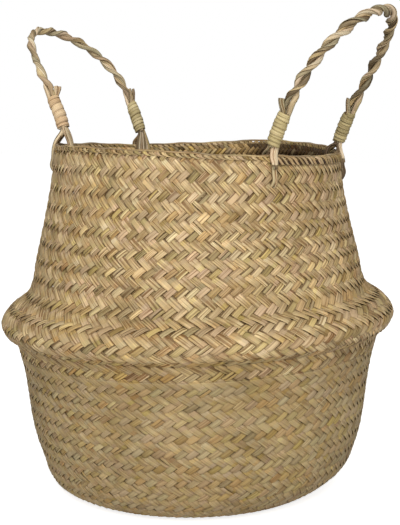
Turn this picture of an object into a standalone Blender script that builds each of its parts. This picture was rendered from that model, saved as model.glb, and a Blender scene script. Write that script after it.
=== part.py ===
"""Belly basket woven from dried grass, with two twisted carrying handles.

The body is a round pot shape that has been pressed down, so its wall folds at the belly.
The upper half can be pushed further over the lower half or pulled up again, and each
handle swings on the two loops that tie it through the wall.

Metres, +Z up. The origin is on the floor under the middle of the belly.
"""
from math import cos, hypot, pi, radians, sin, tan

import bmesh
import bpy
from mathutils import Matrix, Vector

# Body. Radii are to the outer face and heights are from the floor.
BASE_RADIUS = 0.110
CORNER_WIDTH = 0.047
CORNER_HEIGHT = 0.060
CORNER_ANGLE = radians(75)
LOWER_TOP_RADIUS = 0.1725
LOWER_TOP_HEIGHT = 0.138
TUCK_RADIUS = 0.1768
TUCK_DROP = 0.0165
NOSE_RADIUS = 0.190
NOSE_HEIGHT = 0.1680
NOSE_HALF_HEIGHT = 0.0105
NOSE_ROUNDING = 0.0052
FLARE_RADIUS = 0.164
FLARE_HEIGHT = 0.1955
RIM_RADIUS = 0.136
RIM_HEIGHT = 0.327
WALL_THICKNESS = 0.003
CORNER_SHARES = (0, 1 / 3, 2 / 3, 1)
UPPER_SHARES = (0.25, 0.5, 0.75)
UPPER_CURVE_POWER = 1.35
ROUND_SEGMENTS = 40
OUTLINE_STEPS = 2

# The basket is made by hand, so it leans a little. Angles are of the whole ring at a height.
LEAN_DIRECTION = radians(30)
BELLY_TILT = radians(1.84)
RIM_TILT = radians(-1.7)
BASE_SHIFT = 0.008
BASE_SHIFT_HEIGHT = 0.110

# Plaited border inside the rim.
BORDER_HEIGHT = 0.012
BORDER_DEPTH = 0.005
BORDER_DROP = 0.002
BORDER_SIDES = 8

# Handles. A handle is a sheet that leans outward. Two points on the rim's outer face give its
# chord. Its foot line and its pivot line lie further in, each by an inset: the left handle is tied
# to the rim's inner edge.
LEG_ANGLES = {"right": radians(31.6), "left": radians(29.0)}
LEG_INSETS = {"right": 0.0017, "left": 0.0132}
PIVOT_INSETS = {"right": 0.0, "left": 0.005}
PIVOT_RISE = 0.005
FOOT_RISES = {"right": {"front": 0.0046, "back": 0.0046}, "left": {"front": 0.012, "back": 0.006}}
LEG_LENGTH = 0.056
BEND_START = 0.010
HANDLE_RISES = {"right": 0.1456, "left": 0.1319}
FOOT_LEANS = {"right": radians(20.1), "left": radians(18.6)}
TOP_LEANS = {"right": radians(44.0), "left": radians(53.1)}
SIDES = {"right": 1, "left": -1}
LEG_ENDS = {"front": -1, "back": 1}

# Two strands twisted round each other. Each leg binds them with a strand end folded back.
STRAND_RADIUS = 0.0023
TWIST_RADIUS = 0.0027
TWIST_PITCH = 0.037
TWIST_POINTS = 10
BUNDLE_GAP = 0.0004
OPENING_OUT = 0.011
FOLDED_END_RISE = 0.011
FOLDED_END_SPREAD = 0.0046
FOLDED_END_STEPS = 6
FOLDED_SIDES = {"right": {"front": 1, "back": -1}, "left": {"front": -1, "back": 1}}
LINE_STEP = 0.0015

# Binding: a flat strip wound round the leg.
BINDING_LENGTH = 0.032
BINDING_TURNS = 6
BINDING_POINTS = 12
STRIP_THICKNESS = 0.0012
STRIP_GAP = 0.0006
BINDING_CLEARANCE = 0.0005

# Loops that tie the legs through the wall.
LOOP_RADIUS = 0.0016
LOOP_DROP = 0.035
LOOP_BEND = 0.008
LOOP_OUTSIDE = 0.0030
LOOP_SPLAY = 0.0020
LOOP_STEPS = 2
HOLE_CLEARANCE = 0.0009
HOLE_SEGMENTS = 12

# Touching pieces keep this gap. A cutter runs past what it cuts by CUT_OVERRUN.
SEAT_GAP = 0.0003
CUT_OVERRUN = 0.010
MERGE_DISTANCE = 0.00001
MILLIMETRE = 0.001
SHARP_ANGLE = radians(40)

# Colours of dried grass: red, green, blue and roughness.
COLOURS = {
    "base": (0.33, 0.24, 0.12, 0.85),
    "lower": (0.34, 0.25, 0.125, 0.85),
    "fold": (0.36, 0.26, 0.13, 0.85),
    "upper": (0.47, 0.35, 0.19, 0.80),
    "border": (0.36, 0.27, 0.14, 0.80),
    "strand": (0.50, 0.40, 0.25, 0.70),
    "binding": (0.56, 0.46, 0.28, 0.65),
    "loop": (0.45, 0.36, 0.22, 0.70),
}


def clear_scene():
    """Start from an empty scene."""
    for old in list(bpy.data.objects):
        bpy.data.objects.remove(old, do_unlink=True)


def new_collection(name):
    """Add a collection to the scene."""
    collection = bpy.data.collections.new(name)
    bpy.context.scene.collection.children.link(collection)
    return collection


def finish_material(name, colour):
    """Make a piece's own material from one of the grass colours."""
    material = bpy.data.materials.new(name)
    material.use_nodes = True
    shader = material.node_tree.nodes["Principled BSDF"]
    red, green, blue, roughness = COLOURS[colour]
    shader.inputs["Base Color"].default_value = (red, green, blue, 1)
    shader.inputs["Roughness"].default_value = roughness
    shader.inputs["Metallic"].default_value = 0
    return material


def smoothstep(share):
    """Ease from 0 to 1."""
    share = min(max(share, 0), 1)
    return share * share * (3 - 2 * share)


def settled(point):
    """Move a point of the round, level basket to where the hand-made basket has it."""
    x, y, z = point
    along = x * cos(LEAN_DIRECTION) + y * sin(LEAN_DIRECTION)
    if z < NOSE_HEIGHT:
        belly_share = smoothstep(z / NOSE_HEIGHT)
        rim_share = 0
    else:
        rim_share = smoothstep((z - NOSE_HEIGHT) / (RIM_HEIGHT - NOSE_HEIGHT))
        belly_share = 1 - rim_share
    shift = BASE_SHIFT * (1 - smoothstep(z / BASE_SHIFT_HEIGHT))
    rise = along * tan(BELLY_TILT) * belly_share + x * tan(RIM_TILT) * rim_share
    return Vector((x - shift * cos(LEAN_DIRECTION), y - shift * sin(LEAN_DIRECTION), z + rise))


def outline_keys():
    """Key points (radius, height) of the outer face, from the base's edge to the rim."""
    keys = []
    for share in CORNER_SHARES:
        angle = share * CORNER_ANGLE
        keys.append((BASE_RADIUS + CORNER_WIDTH * sin(angle), CORNER_HEIGHT * (1 - cos(angle))))
    rounded = NOSE_RADIUS - NOSE_ROUNDING
    keys.append((LOWER_TOP_RADIUS, LOWER_TOP_HEIGHT))
    keys.append((TUCK_RADIUS, NOSE_HEIGHT - TUCK_DROP))
    keys.append((rounded, NOSE_HEIGHT - NOSE_HALF_HEIGHT))
    keys.append((NOSE_RADIUS, NOSE_HEIGHT))
    keys.append((rounded, NOSE_HEIGHT + NOSE_HALF_HEIGHT))
    keys.append((FLARE_RADIUS, FLARE_HEIGHT))
    for share in UPPER_SHARES:
        taper = (1 - share) ** UPPER_CURVE_POWER
        radius = RIM_RADIUS + (FLARE_RADIUS - RIM_RADIUS) * taper
        keys.append((radius, FLARE_HEIGHT + (RIM_HEIGHT - FLARE_HEIGHT) * share))
    keys.append((RIM_RADIUS, RIM_HEIGHT))
    return keys


LOWER_TOP_KEY = len(CORNER_SHARES)
FOLD_TOP_KEY = LOWER_TOP_KEY + 2


def smooth_curve(keys, steps, closed=False):
    """Run a smooth curve through key points, with the same steps between each two."""
    points = [Vector(key) for key in keys]
    count = len(points)
    spans = count if closed else count - 1
    lengths = [(points[(i + 1) % count] - points[i]).length for i in range(spans)]
    slopes = [(points[(i + 1) % count] - points[i]) / lengths[i] for i in range(spans)]
    tangents = []
    for i in range(count):
        before, after = (i - 1) % count, i % count
        if not closed and i == 0:
            tangents.append(slopes[0])
        elif not closed and i == count - 1:
            tangents.append(slopes[-1])
        else:
            weight = lengths[before] + lengths[after]
            blend = slopes[before] * lengths[after] + slopes[after] * lengths[before]
            tangents.append(blend / weight)
    curve = []
    for i in range(spans):
        start, end = points[i], points[(i + 1) % count]
        leave, arrive = tangents[i] * lengths[i], tangents[(i + 1) % count] * lengths[i]
        for step in range(steps):
            t = step / steps
            curve.append(start * (2 * t**3 - 3 * t**2 + 1) + leave * (t**3 - 2 * t**2 + t)
                         + end * (3 * t**2 - 2 * t**3) + arrive * (t**3 - t**2))
    if not closed:
        curve.append(points[-1])
    return curve


def body_outline():
    """Points of the outer face and the inward normal at each."""
    points = smooth_curve(outline_keys(), OUTLINE_STEPS)
    normals = []
    for i in range(len(points)):
        along = (points[min(i + 1, len(points) - 1)] - points[max(i - 1, 0)]).normalized()
        normals.append(Vector((-along.y, along.x)))
    normals[0] = Vector((0, 1))
    return points, normals


def wall_radius(height):
    """Outer radius of the wall at a height."""
    points, _ = body_outline()
    for low, high in zip(points, points[1:]):
        if height <= high.y:
            return low.x + (high.x - low.x) * (height - low.y) / (high.y - low.y)
    return points[-1].x


def wall_section(first_key, last_key):
    """Closed section of the wall between two key points, down its outer side and up inside."""
    points, normals = body_outline()
    first, last = first_key * OUTLINE_STEPS, last_key * OUTLINE_STEPS
    outer = [points[i].copy() for i in range(first, last + 1)]
    inner_normals = normals[first:last + 1]
    outer[0] += (outer[1] - outer[0]).normalized() * (SEAT_GAP / 2)
    outer[-1] -= (outer[-1] - outer[-2]).normalized() * (SEAT_GAP / 2)
    inner = [point + normal * WALL_THICKNESS for point, normal in zip(outer, inner_normals)]
    return list(reversed(outer)) + inner


def mesh_object(name, mesh, collection):
    """Put a mesh in the scene as an object."""
    made = bpy.data.objects.new(name, mesh)
    collection.objects.link(made)
    return made


def turned_ring(name, section, collection):
    """Turn a closed section (radius, height) round the Z axis."""
    mesh = bpy.data.meshes.new(name)
    corners = [(point[0], 0, point[1]) for point in section]
    edges = [(i, (i + 1) % len(corners)) for i in range(len(corners))]
    mesh.from_pydata(corners, edges, [])
    ring = mesh_object(name, mesh, collection)
    screw = ring.modifiers.new("turn", "SCREW")
    screw.axis = "Z"
    screw.angle = 2 * pi
    screw.steps = ROUND_SEGMENTS
    screw.render_steps = ROUND_SEGMENTS
    screw.use_merge_vertices = True
    screw.merge_threshold = MERGE_DISTANCE
    return ring


def tube_object(name, points, radius, collection, cyclic=False):
    """Run a round tube along points."""
    curve = bpy.data.curves.new(name, "CURVE")
    curve.dimensions = "3D"
    curve.bevel_depth = radius
    curve.bevel_resolution = 1
    curve.use_fill_caps = True
    spline = curve.splines.new("POLY")
    spline.points.add(len(points) - 1)
    for slot, point in zip(spline.points, points):
        slot.co = (*point, 1)
    spline.use_cyclic_u = cyclic
    return mesh_object(name, curve, collection)


def made_solid(source, colour, collection, carrier, shape=settled):
    """Turn a construction object into a closed mesh, settle it and hang it on its carrier."""
    name = source.name
    source.name = name + "_guide"
    evaluated = source.evaluated_get(bpy.context.evaluated_depsgraph_get())
    mesh = bpy.data.meshes.new_from_object(evaluated)
    mesh.transform(source.matrix_world)
    bpy.data.objects.remove(source, do_unlink=True)
    work = bmesh.new()
    work.from_mesh(mesh)
    bmesh.ops.remove_doubles(work, verts=work.verts, dist=MERGE_DISTANCE)
    for vertex in work.verts:
        vertex.co = shape(vertex.co) - carrier.location
    bmesh.ops.recalc_face_normals(work, faces=work.faces)
    if work.calc_volume(signed=True) < 0:
        bmesh.ops.reverse_faces(work, faces=work.faces)
    work.to_mesh(mesh)
    work.free()
    mesh.name = name
    mesh.materials.clear()
    mesh.materials.append(finish_material(name, colour))
    mesh.shade_smooth()
    mesh.set_sharp_from_angle(angle=SHARP_ANGLE)
    solid = mesh_object(name, mesh, collection)
    solid.parent = carrier
    return solid


def carrier_at(name, place, collection):
    """Empty that a body's pieces hang on, placed on its joint."""
    empty = bpy.data.objects.new(name, None)
    empty.location = place
    collection.objects.link(empty)
    return empty


def chord_distance(handle):
    """Distance of a handle's chord from the basket's axis."""
    return RIM_RADIUS * cos(LEG_ANGLES[handle])


def half_span(handle):
    """Half the distance between a handle's two legs."""
    return RIM_RADIUS * sin(LEG_ANGLES[handle])


def sheet_place(handle, across, up):
    """World place of a point of a handle's sheet, with the sheet's up and outward directions."""
    side = SIDES[handle]
    foot_lean, top_lean = FOOT_LEANS[handle], TOP_LEANS[handle]
    straight = min(up, BEND_START)
    out, rise, lean = straight * sin(foot_lean), straight * cos(foot_lean), foot_lean
    if up > BEND_START:
        turn = (top_lean - foot_lean) / (HANDLE_RISES[handle] - BEND_START)
        lean = foot_lean + turn * (up - BEND_START)
        out += (cos(foot_lean) - cos(lean)) / turn
        rise += (sin(lean) - sin(foot_lean)) / turn
    foot_line = chord_distance(handle) - LEG_INSETS[handle]
    place = Vector((side * (foot_line + out), across, RIM_HEIGHT + PIVOT_RISE + rise))
    upward = Vector((side * sin(lean), 0, cos(lean)))
    outward = Vector((side * cos(lean), 0, -sin(lean)))
    return place, upward, outward


def handle_line(handle):
    """Middle line of a handle in its sheet, with the distance run at each point."""
    span, arch = half_span(handle), HANDLE_RISES[handle] - LEG_LENGTH
    legs = {}
    for end, side in LEG_ENDS.items():
        foot = FOOT_RISES[handle][end]
        steps = round((LEG_LENGTH - foot) / LINE_STEP)
        legs[end] = [(side * span, foot + (LEG_LENGTH - foot) * i / steps) for i in range(steps)]
    arch_steps = round(pi * (span + arch) / 2 / LINE_STEP)
    bow = [(-span * cos(pi * i / arch_steps), LEG_LENGTH + arch * sin(pi * i / arch_steps))
           for i in range(arch_steps + 1)]
    line = legs["front"] + bow + legs["back"][::-1]
    runs = [0]
    for (x0, y0), (x1, y1) in zip(line, line[1:]):
        runs.append(runs[-1] + hypot(x1 - x0, y1 - y0))
    return line, runs


def line_point(line, runs, run):
    """Place and direction in the sheet at a distance along a handle's middle line."""
    last = len(runs) - 2
    index = next((i for i in range(last) if runs[i + 1] >= run), last)
    share = (run - runs[index]) / (runs[index + 1] - runs[index])
    start, end = Vector(line[index]), Vector(line[index + 1])
    return start.lerp(end, share), (end - start).normalized()


def placed_offset(handle, line, runs, run, offset):
    """World place beside a handle's middle line: offset is (outward of the arch, out of the sheet)."""
    middle, along = line_point(line, runs, run)
    beside = Vector((-along.y, along.x)) * offset[0]
    place, upward, outward = sheet_place(handle, middle.x, middle.y)
    return place + Vector((0, beside.x, 0)) + upward * beside.y + outward * offset[1]


def bundle_radius():
    """Distance from a leg's middle to each of the three strands bound side by side there."""
    return (STRAND_RADIUS + BUNDLE_GAP / 2) / cos(pi / 6)


def strand_offset(handle, number, run, total):
    """Offset of one strand: bundled in the legs and twisted with the other between them."""
    end = "front" if run < total / 2 else "back"
    away = (1, -1)[number]
    bundle = (-FOLDED_SIDES[handle][end] * bundle_radius() * sin(pi / 6),
              away * bundle_radius() * cos(pi / 6))
    twisted = total - 2 * (BINDING_LENGTH + OPENING_OUT)
    turns = round(twisted / TWIST_PITCH)
    travel = min(max(run - BINDING_LENGTH - OPENING_OUT, 0), twisted)
    phase = away * pi / 2 + 2 * pi * turns * travel / twisted
    twist = (TWIST_RADIUS * cos(phase), TWIST_RADIUS * sin(phase))
    share = smoothstep((min(run, total - run) - BINDING_LENGTH) / OPENING_OUT)
    return tuple(low * (1 - share) + high * share for low, high in zip(bundle, twist))


def make_strands(handle, collection, carrier):
    """Two strands that run from one foot of a handle to the other."""
    line, runs = handle_line(handle)
    total = runs[-1]
    steps = round(total * TWIST_POINTS / TWIST_PITCH)
    for number, letter in enumerate("ab"):
        points = []
        for i in range(steps + 1):
            run = total * i / steps
            offset = strand_offset(handle, number, run, total)
            points.append(placed_offset(handle, line, runs, run, offset))
        tube = tube_object(f"strand_{handle}_{letter}", points, STRAND_RADIUS, collection)
        made_solid(tube, "strand", collection, carrier)


def make_folded_end(handle, end, collection, carrier):
    """Strand end folded back into the binding, its cut tip beside the twisted strands."""
    line, runs = handle_line(handle)
    length = BINDING_LENGTH + FOLDED_END_RISE
    points = []
    for i in range(FOLDED_END_STEPS + 1):
        run = length * i / FOLDED_END_STEPS
        spread = smoothstep((run - BINDING_LENGTH) / FOLDED_END_RISE)
        beside = bundle_radius() + (FOLDED_END_SPREAD - bundle_radius()) * spread
        offset = (FOLDED_SIDES[handle][end] * beside, 0)
        run = run if end == "front" else runs[-1] - run
        points.append(placed_offset(handle, line, runs, run, offset))
    tube = tube_object(f"folded_end_{handle}_{end}", points, STRAND_RADIUS, collection)
    made_solid(tube, "strand", collection, carrier)


def binding_radius():
    """Middle radius of a binding's strip, clear of the bundle inside it."""
    bundle = bundle_radius() + STRAND_RADIUS
    return bundle + BINDING_CLEARANCE + STRIP_THICKNESS / 2


def strip_size():
    """Rise of the strip in one turn, and the strip's own width."""
    pitch = BINDING_LENGTH / (BINDING_TURNS + 1)
    return pitch, pitch - STRIP_GAP


def strip_point(step, rise):
    """Point of a binding's strip, counted in steps round the leg, at a rise from its lower edge."""
    pitch, _ = strip_size()
    angle = 2 * pi * step / BINDING_POINTS
    radius = binding_radius()
    return Vector((radius * cos(angle), radius * sin(angle), pitch * step / BINDING_POINTS + rise))


def least_turn_gap():
    """Least distance between a turn's upper edge and the lower edge of the turns after it."""
    _, width = strip_size()
    steps = range(BINDING_POINTS * BINDING_TURNS)
    return min((strip_point(step, width) - strip_point(later, 0)).length
               for step in steps for later in steps if later - step > BINDING_POINTS / 2)


def leg_place(handle, end, point):
    """Settled place of a point of a leg: x across the leg, y out of the sheet, z up the leg."""
    across = LEG_ENDS[end] * half_span(handle) + point.x
    place, _, outward = sheet_place(handle, across, FOOT_RISES[handle][end] + point.z)
    return settled(place + outward * point.y)


def make_binding(handle, end, collection, carrier):
    """Flat strip wound round a leg: an upright face spun round the leg while it climbs."""
    name = f"binding_{handle}_{end}"
    pitch, width = strip_size()
    work = bmesh.new()
    bmesh.ops.create_grid(work, x_segments=1, y_segments=1, size=1)
    upright = Matrix.Rotation(pi / 2, 4, "X")
    scale = Matrix.Diagonal((STRIP_THICKNESS / 2, width / 2, 1, 1))
    place = Matrix.Translation((binding_radius(), 0, width / 2))
    bmesh.ops.transform(work, matrix=place @ upright @ scale, verts=work.verts)
    start = work.verts[:] + work.edges[:] + work.faces[:]
    bmesh.ops.spin(work, geom=start, cent=(0, 0, 0), axis=(0, 0, 1), angle=2 * pi * BINDING_TURNS,
                   dvec=(0, 0, pitch / BINDING_POINTS), steps=BINDING_TURNS * BINDING_POINTS,
                   use_duplicate=False)
    mesh = bpy.data.meshes.new(name)
    work.to_mesh(mesh)
    work.free()
    strip = mesh_object(name, mesh, collection)
    made_solid(strip, "binding", collection, carrier, lambda point: leg_place(handle, end, point))


def loop_points(handle, end):
    """Closed line of a loop: foot of the leg, down outside, through the wall and up inside."""
    angle = LEG_ANGLES[handle] * LEG_ENDS[end]
    if handle == "left":
        angle = pi - angle
    radial = Vector((cos(angle), sin(angle), 0))
    below = RIM_HEIGHT - LOOP_DROP
    outside = LOOP_OUTSIDE + LOOP_RADIUS
    inside = WALL_THICKNESS + BORDER_DEPTH + 2 * SEAT_GAP + 2 * LOOP_RADIUS
    foot = FOOT_RISES[handle][end] - LOOP_RADIUS - SEAT_GAP
    top, _, _ = sheet_place(handle, LEG_ENDS[end] * half_span(handle), foot)
    places = [
        (outside, RIM_HEIGHT),
        (outside, RIM_HEIGHT - LOOP_DROP / 2),
        (outside + LOOP_SPLAY, below + LOOP_BEND),
        (-WALL_THICKNESS / 2, below),
        (-inside, below + LOOP_BEND),
        (-inside, RIM_HEIGHT - LOOP_DROP / 2),
        (-inside, RIM_HEIGHT),
    ]
    keys = [top]
    for offset, height in places:
        keys.append(radial * (wall_radius(height) + offset) + Vector((0, 0, height)))
    return smooth_curve(keys, LOOP_STEPS, closed=True), radial, below


def make_loop(handle, end, collection, carrier):
    """Loop of strand through the wall."""
    points, _, _ = loop_points(handle, end)
    tube = tube_object(f"loop_{handle}_{end}", points, LOOP_RADIUS, collection, cyclic=True)
    made_solid(tube, "loop", collection, carrier)


def hole_cutter(handle, end, collection):
    """Cutter for the hole that a loop passes through the wall."""
    _, radial, height = loop_points(handle, end)
    work = bmesh.new()
    length = WALL_THICKNESS + 2 * CUT_OVERRUN
    radius = LOOP_RADIUS + HOLE_CLEARANCE
    bmesh.ops.create_cone(work, cap_ends=True, segments=HOLE_SEGMENTS, radius1=radius,
                          radius2=radius, depth=length)
    name = f"hole_cutter_{handle}_{end}"
    mesh = bpy.data.meshes.new(name)
    work.to_mesh(mesh)
    work.free()
    cutter = mesh_object(name, mesh, collection)
    cutter.rotation_euler = radial.to_track_quat("Z", "Y").to_euler()
    cutter.location = radial * wall_radius(height) + Vector((0, 0, height))
    cutter.hide_render = True
    cutter.display_type = "WIRE"
    return cutter


def make_base_disc(collection, carrier):
    """Flat plaited bottom."""
    work = bmesh.new()
    radius = BASE_RADIUS - SEAT_GAP
    bmesh.ops.create_cone(work, cap_ends=True, segments=ROUND_SEGMENTS, radius1=radius,
                          radius2=radius, depth=WALL_THICKNESS)
    bmesh.ops.translate(work, verts=work.verts, vec=(0, 0, WALL_THICKNESS / 2))
    mesh = bpy.data.meshes.new("base_disc")
    work.to_mesh(mesh)
    work.free()
    made_solid(mesh_object("base_disc", mesh, collection), "base", collection, carrier)


def make_walls(collection, cutters, root, upper):
    """Lower wall, belly fold and upper wall, and the holes in the upper wall for the loops."""
    last_key = len(outline_keys()) - 1
    lower = turned_ring("lower_wall", wall_section(0, LOWER_TOP_KEY), collection)
    made_solid(lower, "lower", collection, root)
    fold = turned_ring("belly_fold", wall_section(LOWER_TOP_KEY, FOLD_TOP_KEY), collection)
    made_solid(fold, "fold", collection, upper)
    wall = turned_ring("upper_wall", wall_section(FOLD_TOP_KEY, last_key), collection)
    holes = [hole_cutter(handle, end, cutters) for handle in SIDES for end in LEG_ENDS]
    for hole in holes:
        cut = wall.modifiers.new(hole.name, "BOOLEAN")
        cut.operation = "DIFFERENCE"
        cut.object = hole
    bpy.context.view_layer.update()
    made_solid(wall, "upper", collection, upper)
    for hole in holes:
        bpy.data.objects.remove(hole, do_unlink=True)


def make_rim_border(collection, carrier):
    """Plaited border that lies inside the wall just below the rim."""
    height = RIM_HEIGHT - BORDER_DROP - BORDER_HEIGHT / 2
    middle = wall_radius(height) - WALL_THICKNESS - SEAT_GAP - BORDER_DEPTH / 2
    section = []
    for i in range(BORDER_SIDES):
        angle = -2 * pi * i / BORDER_SIDES
        section.append((middle + BORDER_DEPTH / 2 * cos(angle),
                        height + BORDER_HEIGHT / 2 * sin(angle)))
    ring = turned_ring("rim_border", section, collection)
    made_solid(ring, "border", collection, carrier)


def make_handle(handle, collection, upper):
    """One carrying handle with its bindings, folded ends and wall loops."""
    pivot_line = chord_distance(handle) - PIVOT_INSETS[handle]
    pivot = settled((SIDES[handle] * pivot_line, 0, RIM_HEIGHT + PIVOT_RISE))
    carrier = carrier_at(f"{handle}_handle_pivot", pivot, collection)
    make_strands(handle, collection, carrier)
    for end in LEG_ENDS:
        make_folded_end(handle, end, collection, carrier)
        make_binding(handle, end, collection, carrier)
        make_loop(handle, end, collection, upper)


def main():
    """Build the whole basket."""
    clear_scene()
    basket = new_collection("belly_basket")
    cutters = new_collection("cutters")
    root = carrier_at("lower_body", Vector((0, 0, 0)), basket)
    upper = carrier_at("upper_body", Vector((0, 0, 0)), basket)
    make_base_disc(basket, root)
    make_walls(basket, cutters, root, upper)
    make_rim_border(basket, upper)
    for handle in SIDES:
        make_handle(handle, basket, upper)
    print(f"binding strip: least gap between turns {least_turn_gap() / MILLIMETRE:.2f} mm")


main()
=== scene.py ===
"""Looks of the belly basket: every grass strip, strand and binding as a modelled ribbon.

The walls are a two-over-two twill of two crossing families of strips, which climb round the
basket in opposite directions. All pieces follow the outline and the lean of the solids, apart
from two things: here the rim rises and falls, and the base's sideways shift fades lower down.
Metres, +Z up.
"""

from math import cos, pi, radians, sin, tan

import bpy
import numpy as np
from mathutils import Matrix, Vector


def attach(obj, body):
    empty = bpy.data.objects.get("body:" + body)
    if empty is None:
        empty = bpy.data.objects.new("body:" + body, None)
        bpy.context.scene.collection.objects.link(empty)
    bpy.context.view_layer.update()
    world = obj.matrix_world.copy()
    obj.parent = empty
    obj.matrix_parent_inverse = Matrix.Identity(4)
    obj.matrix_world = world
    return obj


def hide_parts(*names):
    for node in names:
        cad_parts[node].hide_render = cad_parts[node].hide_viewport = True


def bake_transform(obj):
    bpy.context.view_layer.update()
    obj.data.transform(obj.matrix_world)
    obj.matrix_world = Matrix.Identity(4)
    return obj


bl_info = {
    "name": "Belly basket looks",
    "version": (1, 0, 0),
    "blender": (4, 5, 0),
    "location": "View3D > Sidebar > Basket",
    "description": "Weaves, twists and binds the grass of a belly basket round its solids",
    "category": "Add Mesh",
}

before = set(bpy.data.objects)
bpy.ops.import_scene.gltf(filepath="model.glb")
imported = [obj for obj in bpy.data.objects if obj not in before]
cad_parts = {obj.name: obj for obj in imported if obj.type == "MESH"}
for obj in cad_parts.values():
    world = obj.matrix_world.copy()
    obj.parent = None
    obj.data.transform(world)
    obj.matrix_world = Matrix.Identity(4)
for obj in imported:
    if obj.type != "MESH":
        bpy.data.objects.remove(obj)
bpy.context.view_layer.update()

# Outline of the body, as the solids have it. Radii are to the outer face.
BASE_RADIUS = 0.110
CORNER_WIDTH = 0.047
CORNER_HEIGHT = 0.060
CORNER_ANGLE = radians(75)
CORNER_SHARES = (0, 1 / 3, 2 / 3, 1)
LOWER_TOP = (0.1725, 0.138)
TUCK = (0.1768, 0.1515)
NOSE_RADIUS = 0.190
NOSE_HEIGHT = 0.1680
NOSE_HALF_HEIGHT = 0.0105
NOSE_ROUNDING = 0.0052
FLARE_RADIUS = 0.164
FLARE_HEIGHT = 0.1955
RIM_RADIUS = 0.136
RIM_HEIGHT = 0.327
WALL_THICKNESS = 0.003
UPPER_SHARES = (0.25, 0.5, 0.75)
UPPER_CURVE_POWER = 1.35
OUTLINE_STEPS = 16
LOWER_TOP_KEY = len(CORNER_SHARES)
FOLD_TOP_KEY = LOWER_TOP_KEY + 2

# Lean of the hand-made body. The solids' shift of the base fades at 0.110.
LEAN_DIRECTION = radians(30)
BELLY_TILT = radians(1.84)
RIM_TILT = radians(-1.7)
BASE_SHIFT = 0.008
BASE_SHIFT_HEIGHT = 0.034

# Waves of the rim: how many in a turn, their height and the azimuth of a crest. They grow from a
# height up to the rim, and fade out a little above it.
RIM_WAVES = ((1, 0.0015, radians(-11)), (2, 0.0027, radians(76)), (3, 0.0009, radians(-44)),
             (4, 0.0005, radians(-5)))
RIM_WAVE_START = 0.235
RIM_WAVE_CLEARANCE = 0.002
RIM_WAVE_FADE = 0.008

# Handles, as the solids have them.
LEG_ANGLES = {"right": radians(31.6), "left": radians(29.0)}
LEG_INSETS = {"right": 0.0017, "left": 0.0132}
PIVOT_RISE = 0.005
FOOT_RISES = {"right": {"front": 0.0046, "back": 0.0046}, "left": {"front": 0.012, "back": 0.006}}
LEG_LENGTH = 0.056
BEND_START = 0.010
HANDLE_RISES = {"right": 0.1456, "left": 0.1319}
FOOT_LEANS = {"right": radians(20.1), "left": radians(18.6)}
TOP_LEANS = {"right": radians(44.0), "left": radians(53.1)}
SIDES = {"right": 1, "left": -1}
LEG_ENDS = {"front": -1, "back": 1}
STRAND_RADIUS = 0.0023
TWIST_RADIUS = 0.0027
TWIST_PITCH = 0.037
OPENING_OUT = 0.011
FOLDED_SIDES = {"right": {"front": 1, "back": -1}, "left": {"front": -1, "back": 1}}
BINDING_LENGTH = 0.032
LINE_STEP = 0.0015

# Strands and bindings as they are shown. A twist's tightness is the share of its radius that it
# has at four places along the handle.
BUNDLE_RADIUS = 0.00289
BINDING_RADIUS = 0.0060
TIGHTNESS_PLACES = (0.14, 0.24, 0.42, 0.52)
TWIST_TIGHTNESS = {"right": (1.04, 0.98, 0.84, 0.96), "left": (0.74, 0.40, 0.40, 0.72)}
STRAND_STEP = 0.0016
STRAND_TONES = {"right": 0.42, "left": 0.66}
BLADE_THICKNESS = 0.0005
BLADE_TONES = 0.45
BLADE_POINTS = 5

# Woven strips. Rows of crossings are counted from the base's edge. A strip's upright share is the
# cosine of its angle to the wall's upright direction.
MOST_UPRIGHT = 0.94
BELLY_MIDDLE = 0.180
BELLY_REACH = 0.026
TWILL_REPEAT = 4
FLOAT_MIDDLE = 0.5
STRIP_LENGTH_SHARE = 1.4
ROW_KNOTS = (0.05, 0.95, 1.3, 1.6, 2.1, 2.9, 3.4, 3.7)
FLOAT_SQUARENESS = 2.2
FALLING_LEAD = 0.17
LOOKS = ("across", "along", "seed", "depth", "tone")
STRIP_SIDE = np.array((-1, -0.82, 0.82, 1, 0.82, -0.82))
STRIP_LIFT = np.array((0, 0.5, 0.5, 0, -0.5, -0.5))
KNOT_MARGIN = 0.15
STRIP_HALF = 0.46
SPLIT_GAP = 0.01
PLACE_SPREAD = 0.02
BAKE_MARGIN = 0.06
BUMP_DEPTH = 0.0006


def smoothstep(share):
    """Ease from 0 to 1, for numbers and arrays."""
    share = np.clip(share, 0, 1)
    return share * share * (3 - 2 * share)


def settled(points):
    """Move points of the round, level basket to where the hand-made basket has them."""
    points = np.asarray(points, float)
    x, y, z = points[..., 0], points[..., 1], points[..., 2]
    along = x * cos(LEAN_DIRECTION) + y * sin(LEAN_DIRECTION)
    high = z >= NOSE_HEIGHT
    rim_share = np.where(high, smoothstep((z - NOSE_HEIGHT) / (RIM_HEIGHT - NOSE_HEIGHT)), 0)
    belly_share = np.where(high, 1 - rim_share, smoothstep(z / NOSE_HEIGHT))
    shift = BASE_SHIFT * (1 - smoothstep(z / BASE_SHIFT_HEIGHT))
    rise = along * tan(BELLY_TILT) * belly_share + x * tan(RIM_TILT) * rim_share
    turn = np.arctan2(y, x)
    wave = sum(height * np.cos(count * (turn - crest)) for count, height, crest in RIM_WAVES)
    grown = smoothstep((z - RIM_WAVE_START) / (RIM_HEIGHT - RIM_WAVE_START))
    faded = smoothstep((z - RIM_HEIGHT - RIM_WAVE_CLEARANCE) / RIM_WAVE_FADE)
    rise = rise + wave * grown * (1 - faded)
    return np.stack((x - shift * cos(LEAN_DIRECTION), y - shift * sin(LEAN_DIRECTION), z + rise), -1)


def ring_places(radius, turn, level):
    """Settled places at radii, angles round the basket and heights."""
    return settled(np.stack(np.broadcast_arrays(radius * np.cos(turn), radius * np.sin(turn), level), -1))


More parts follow.
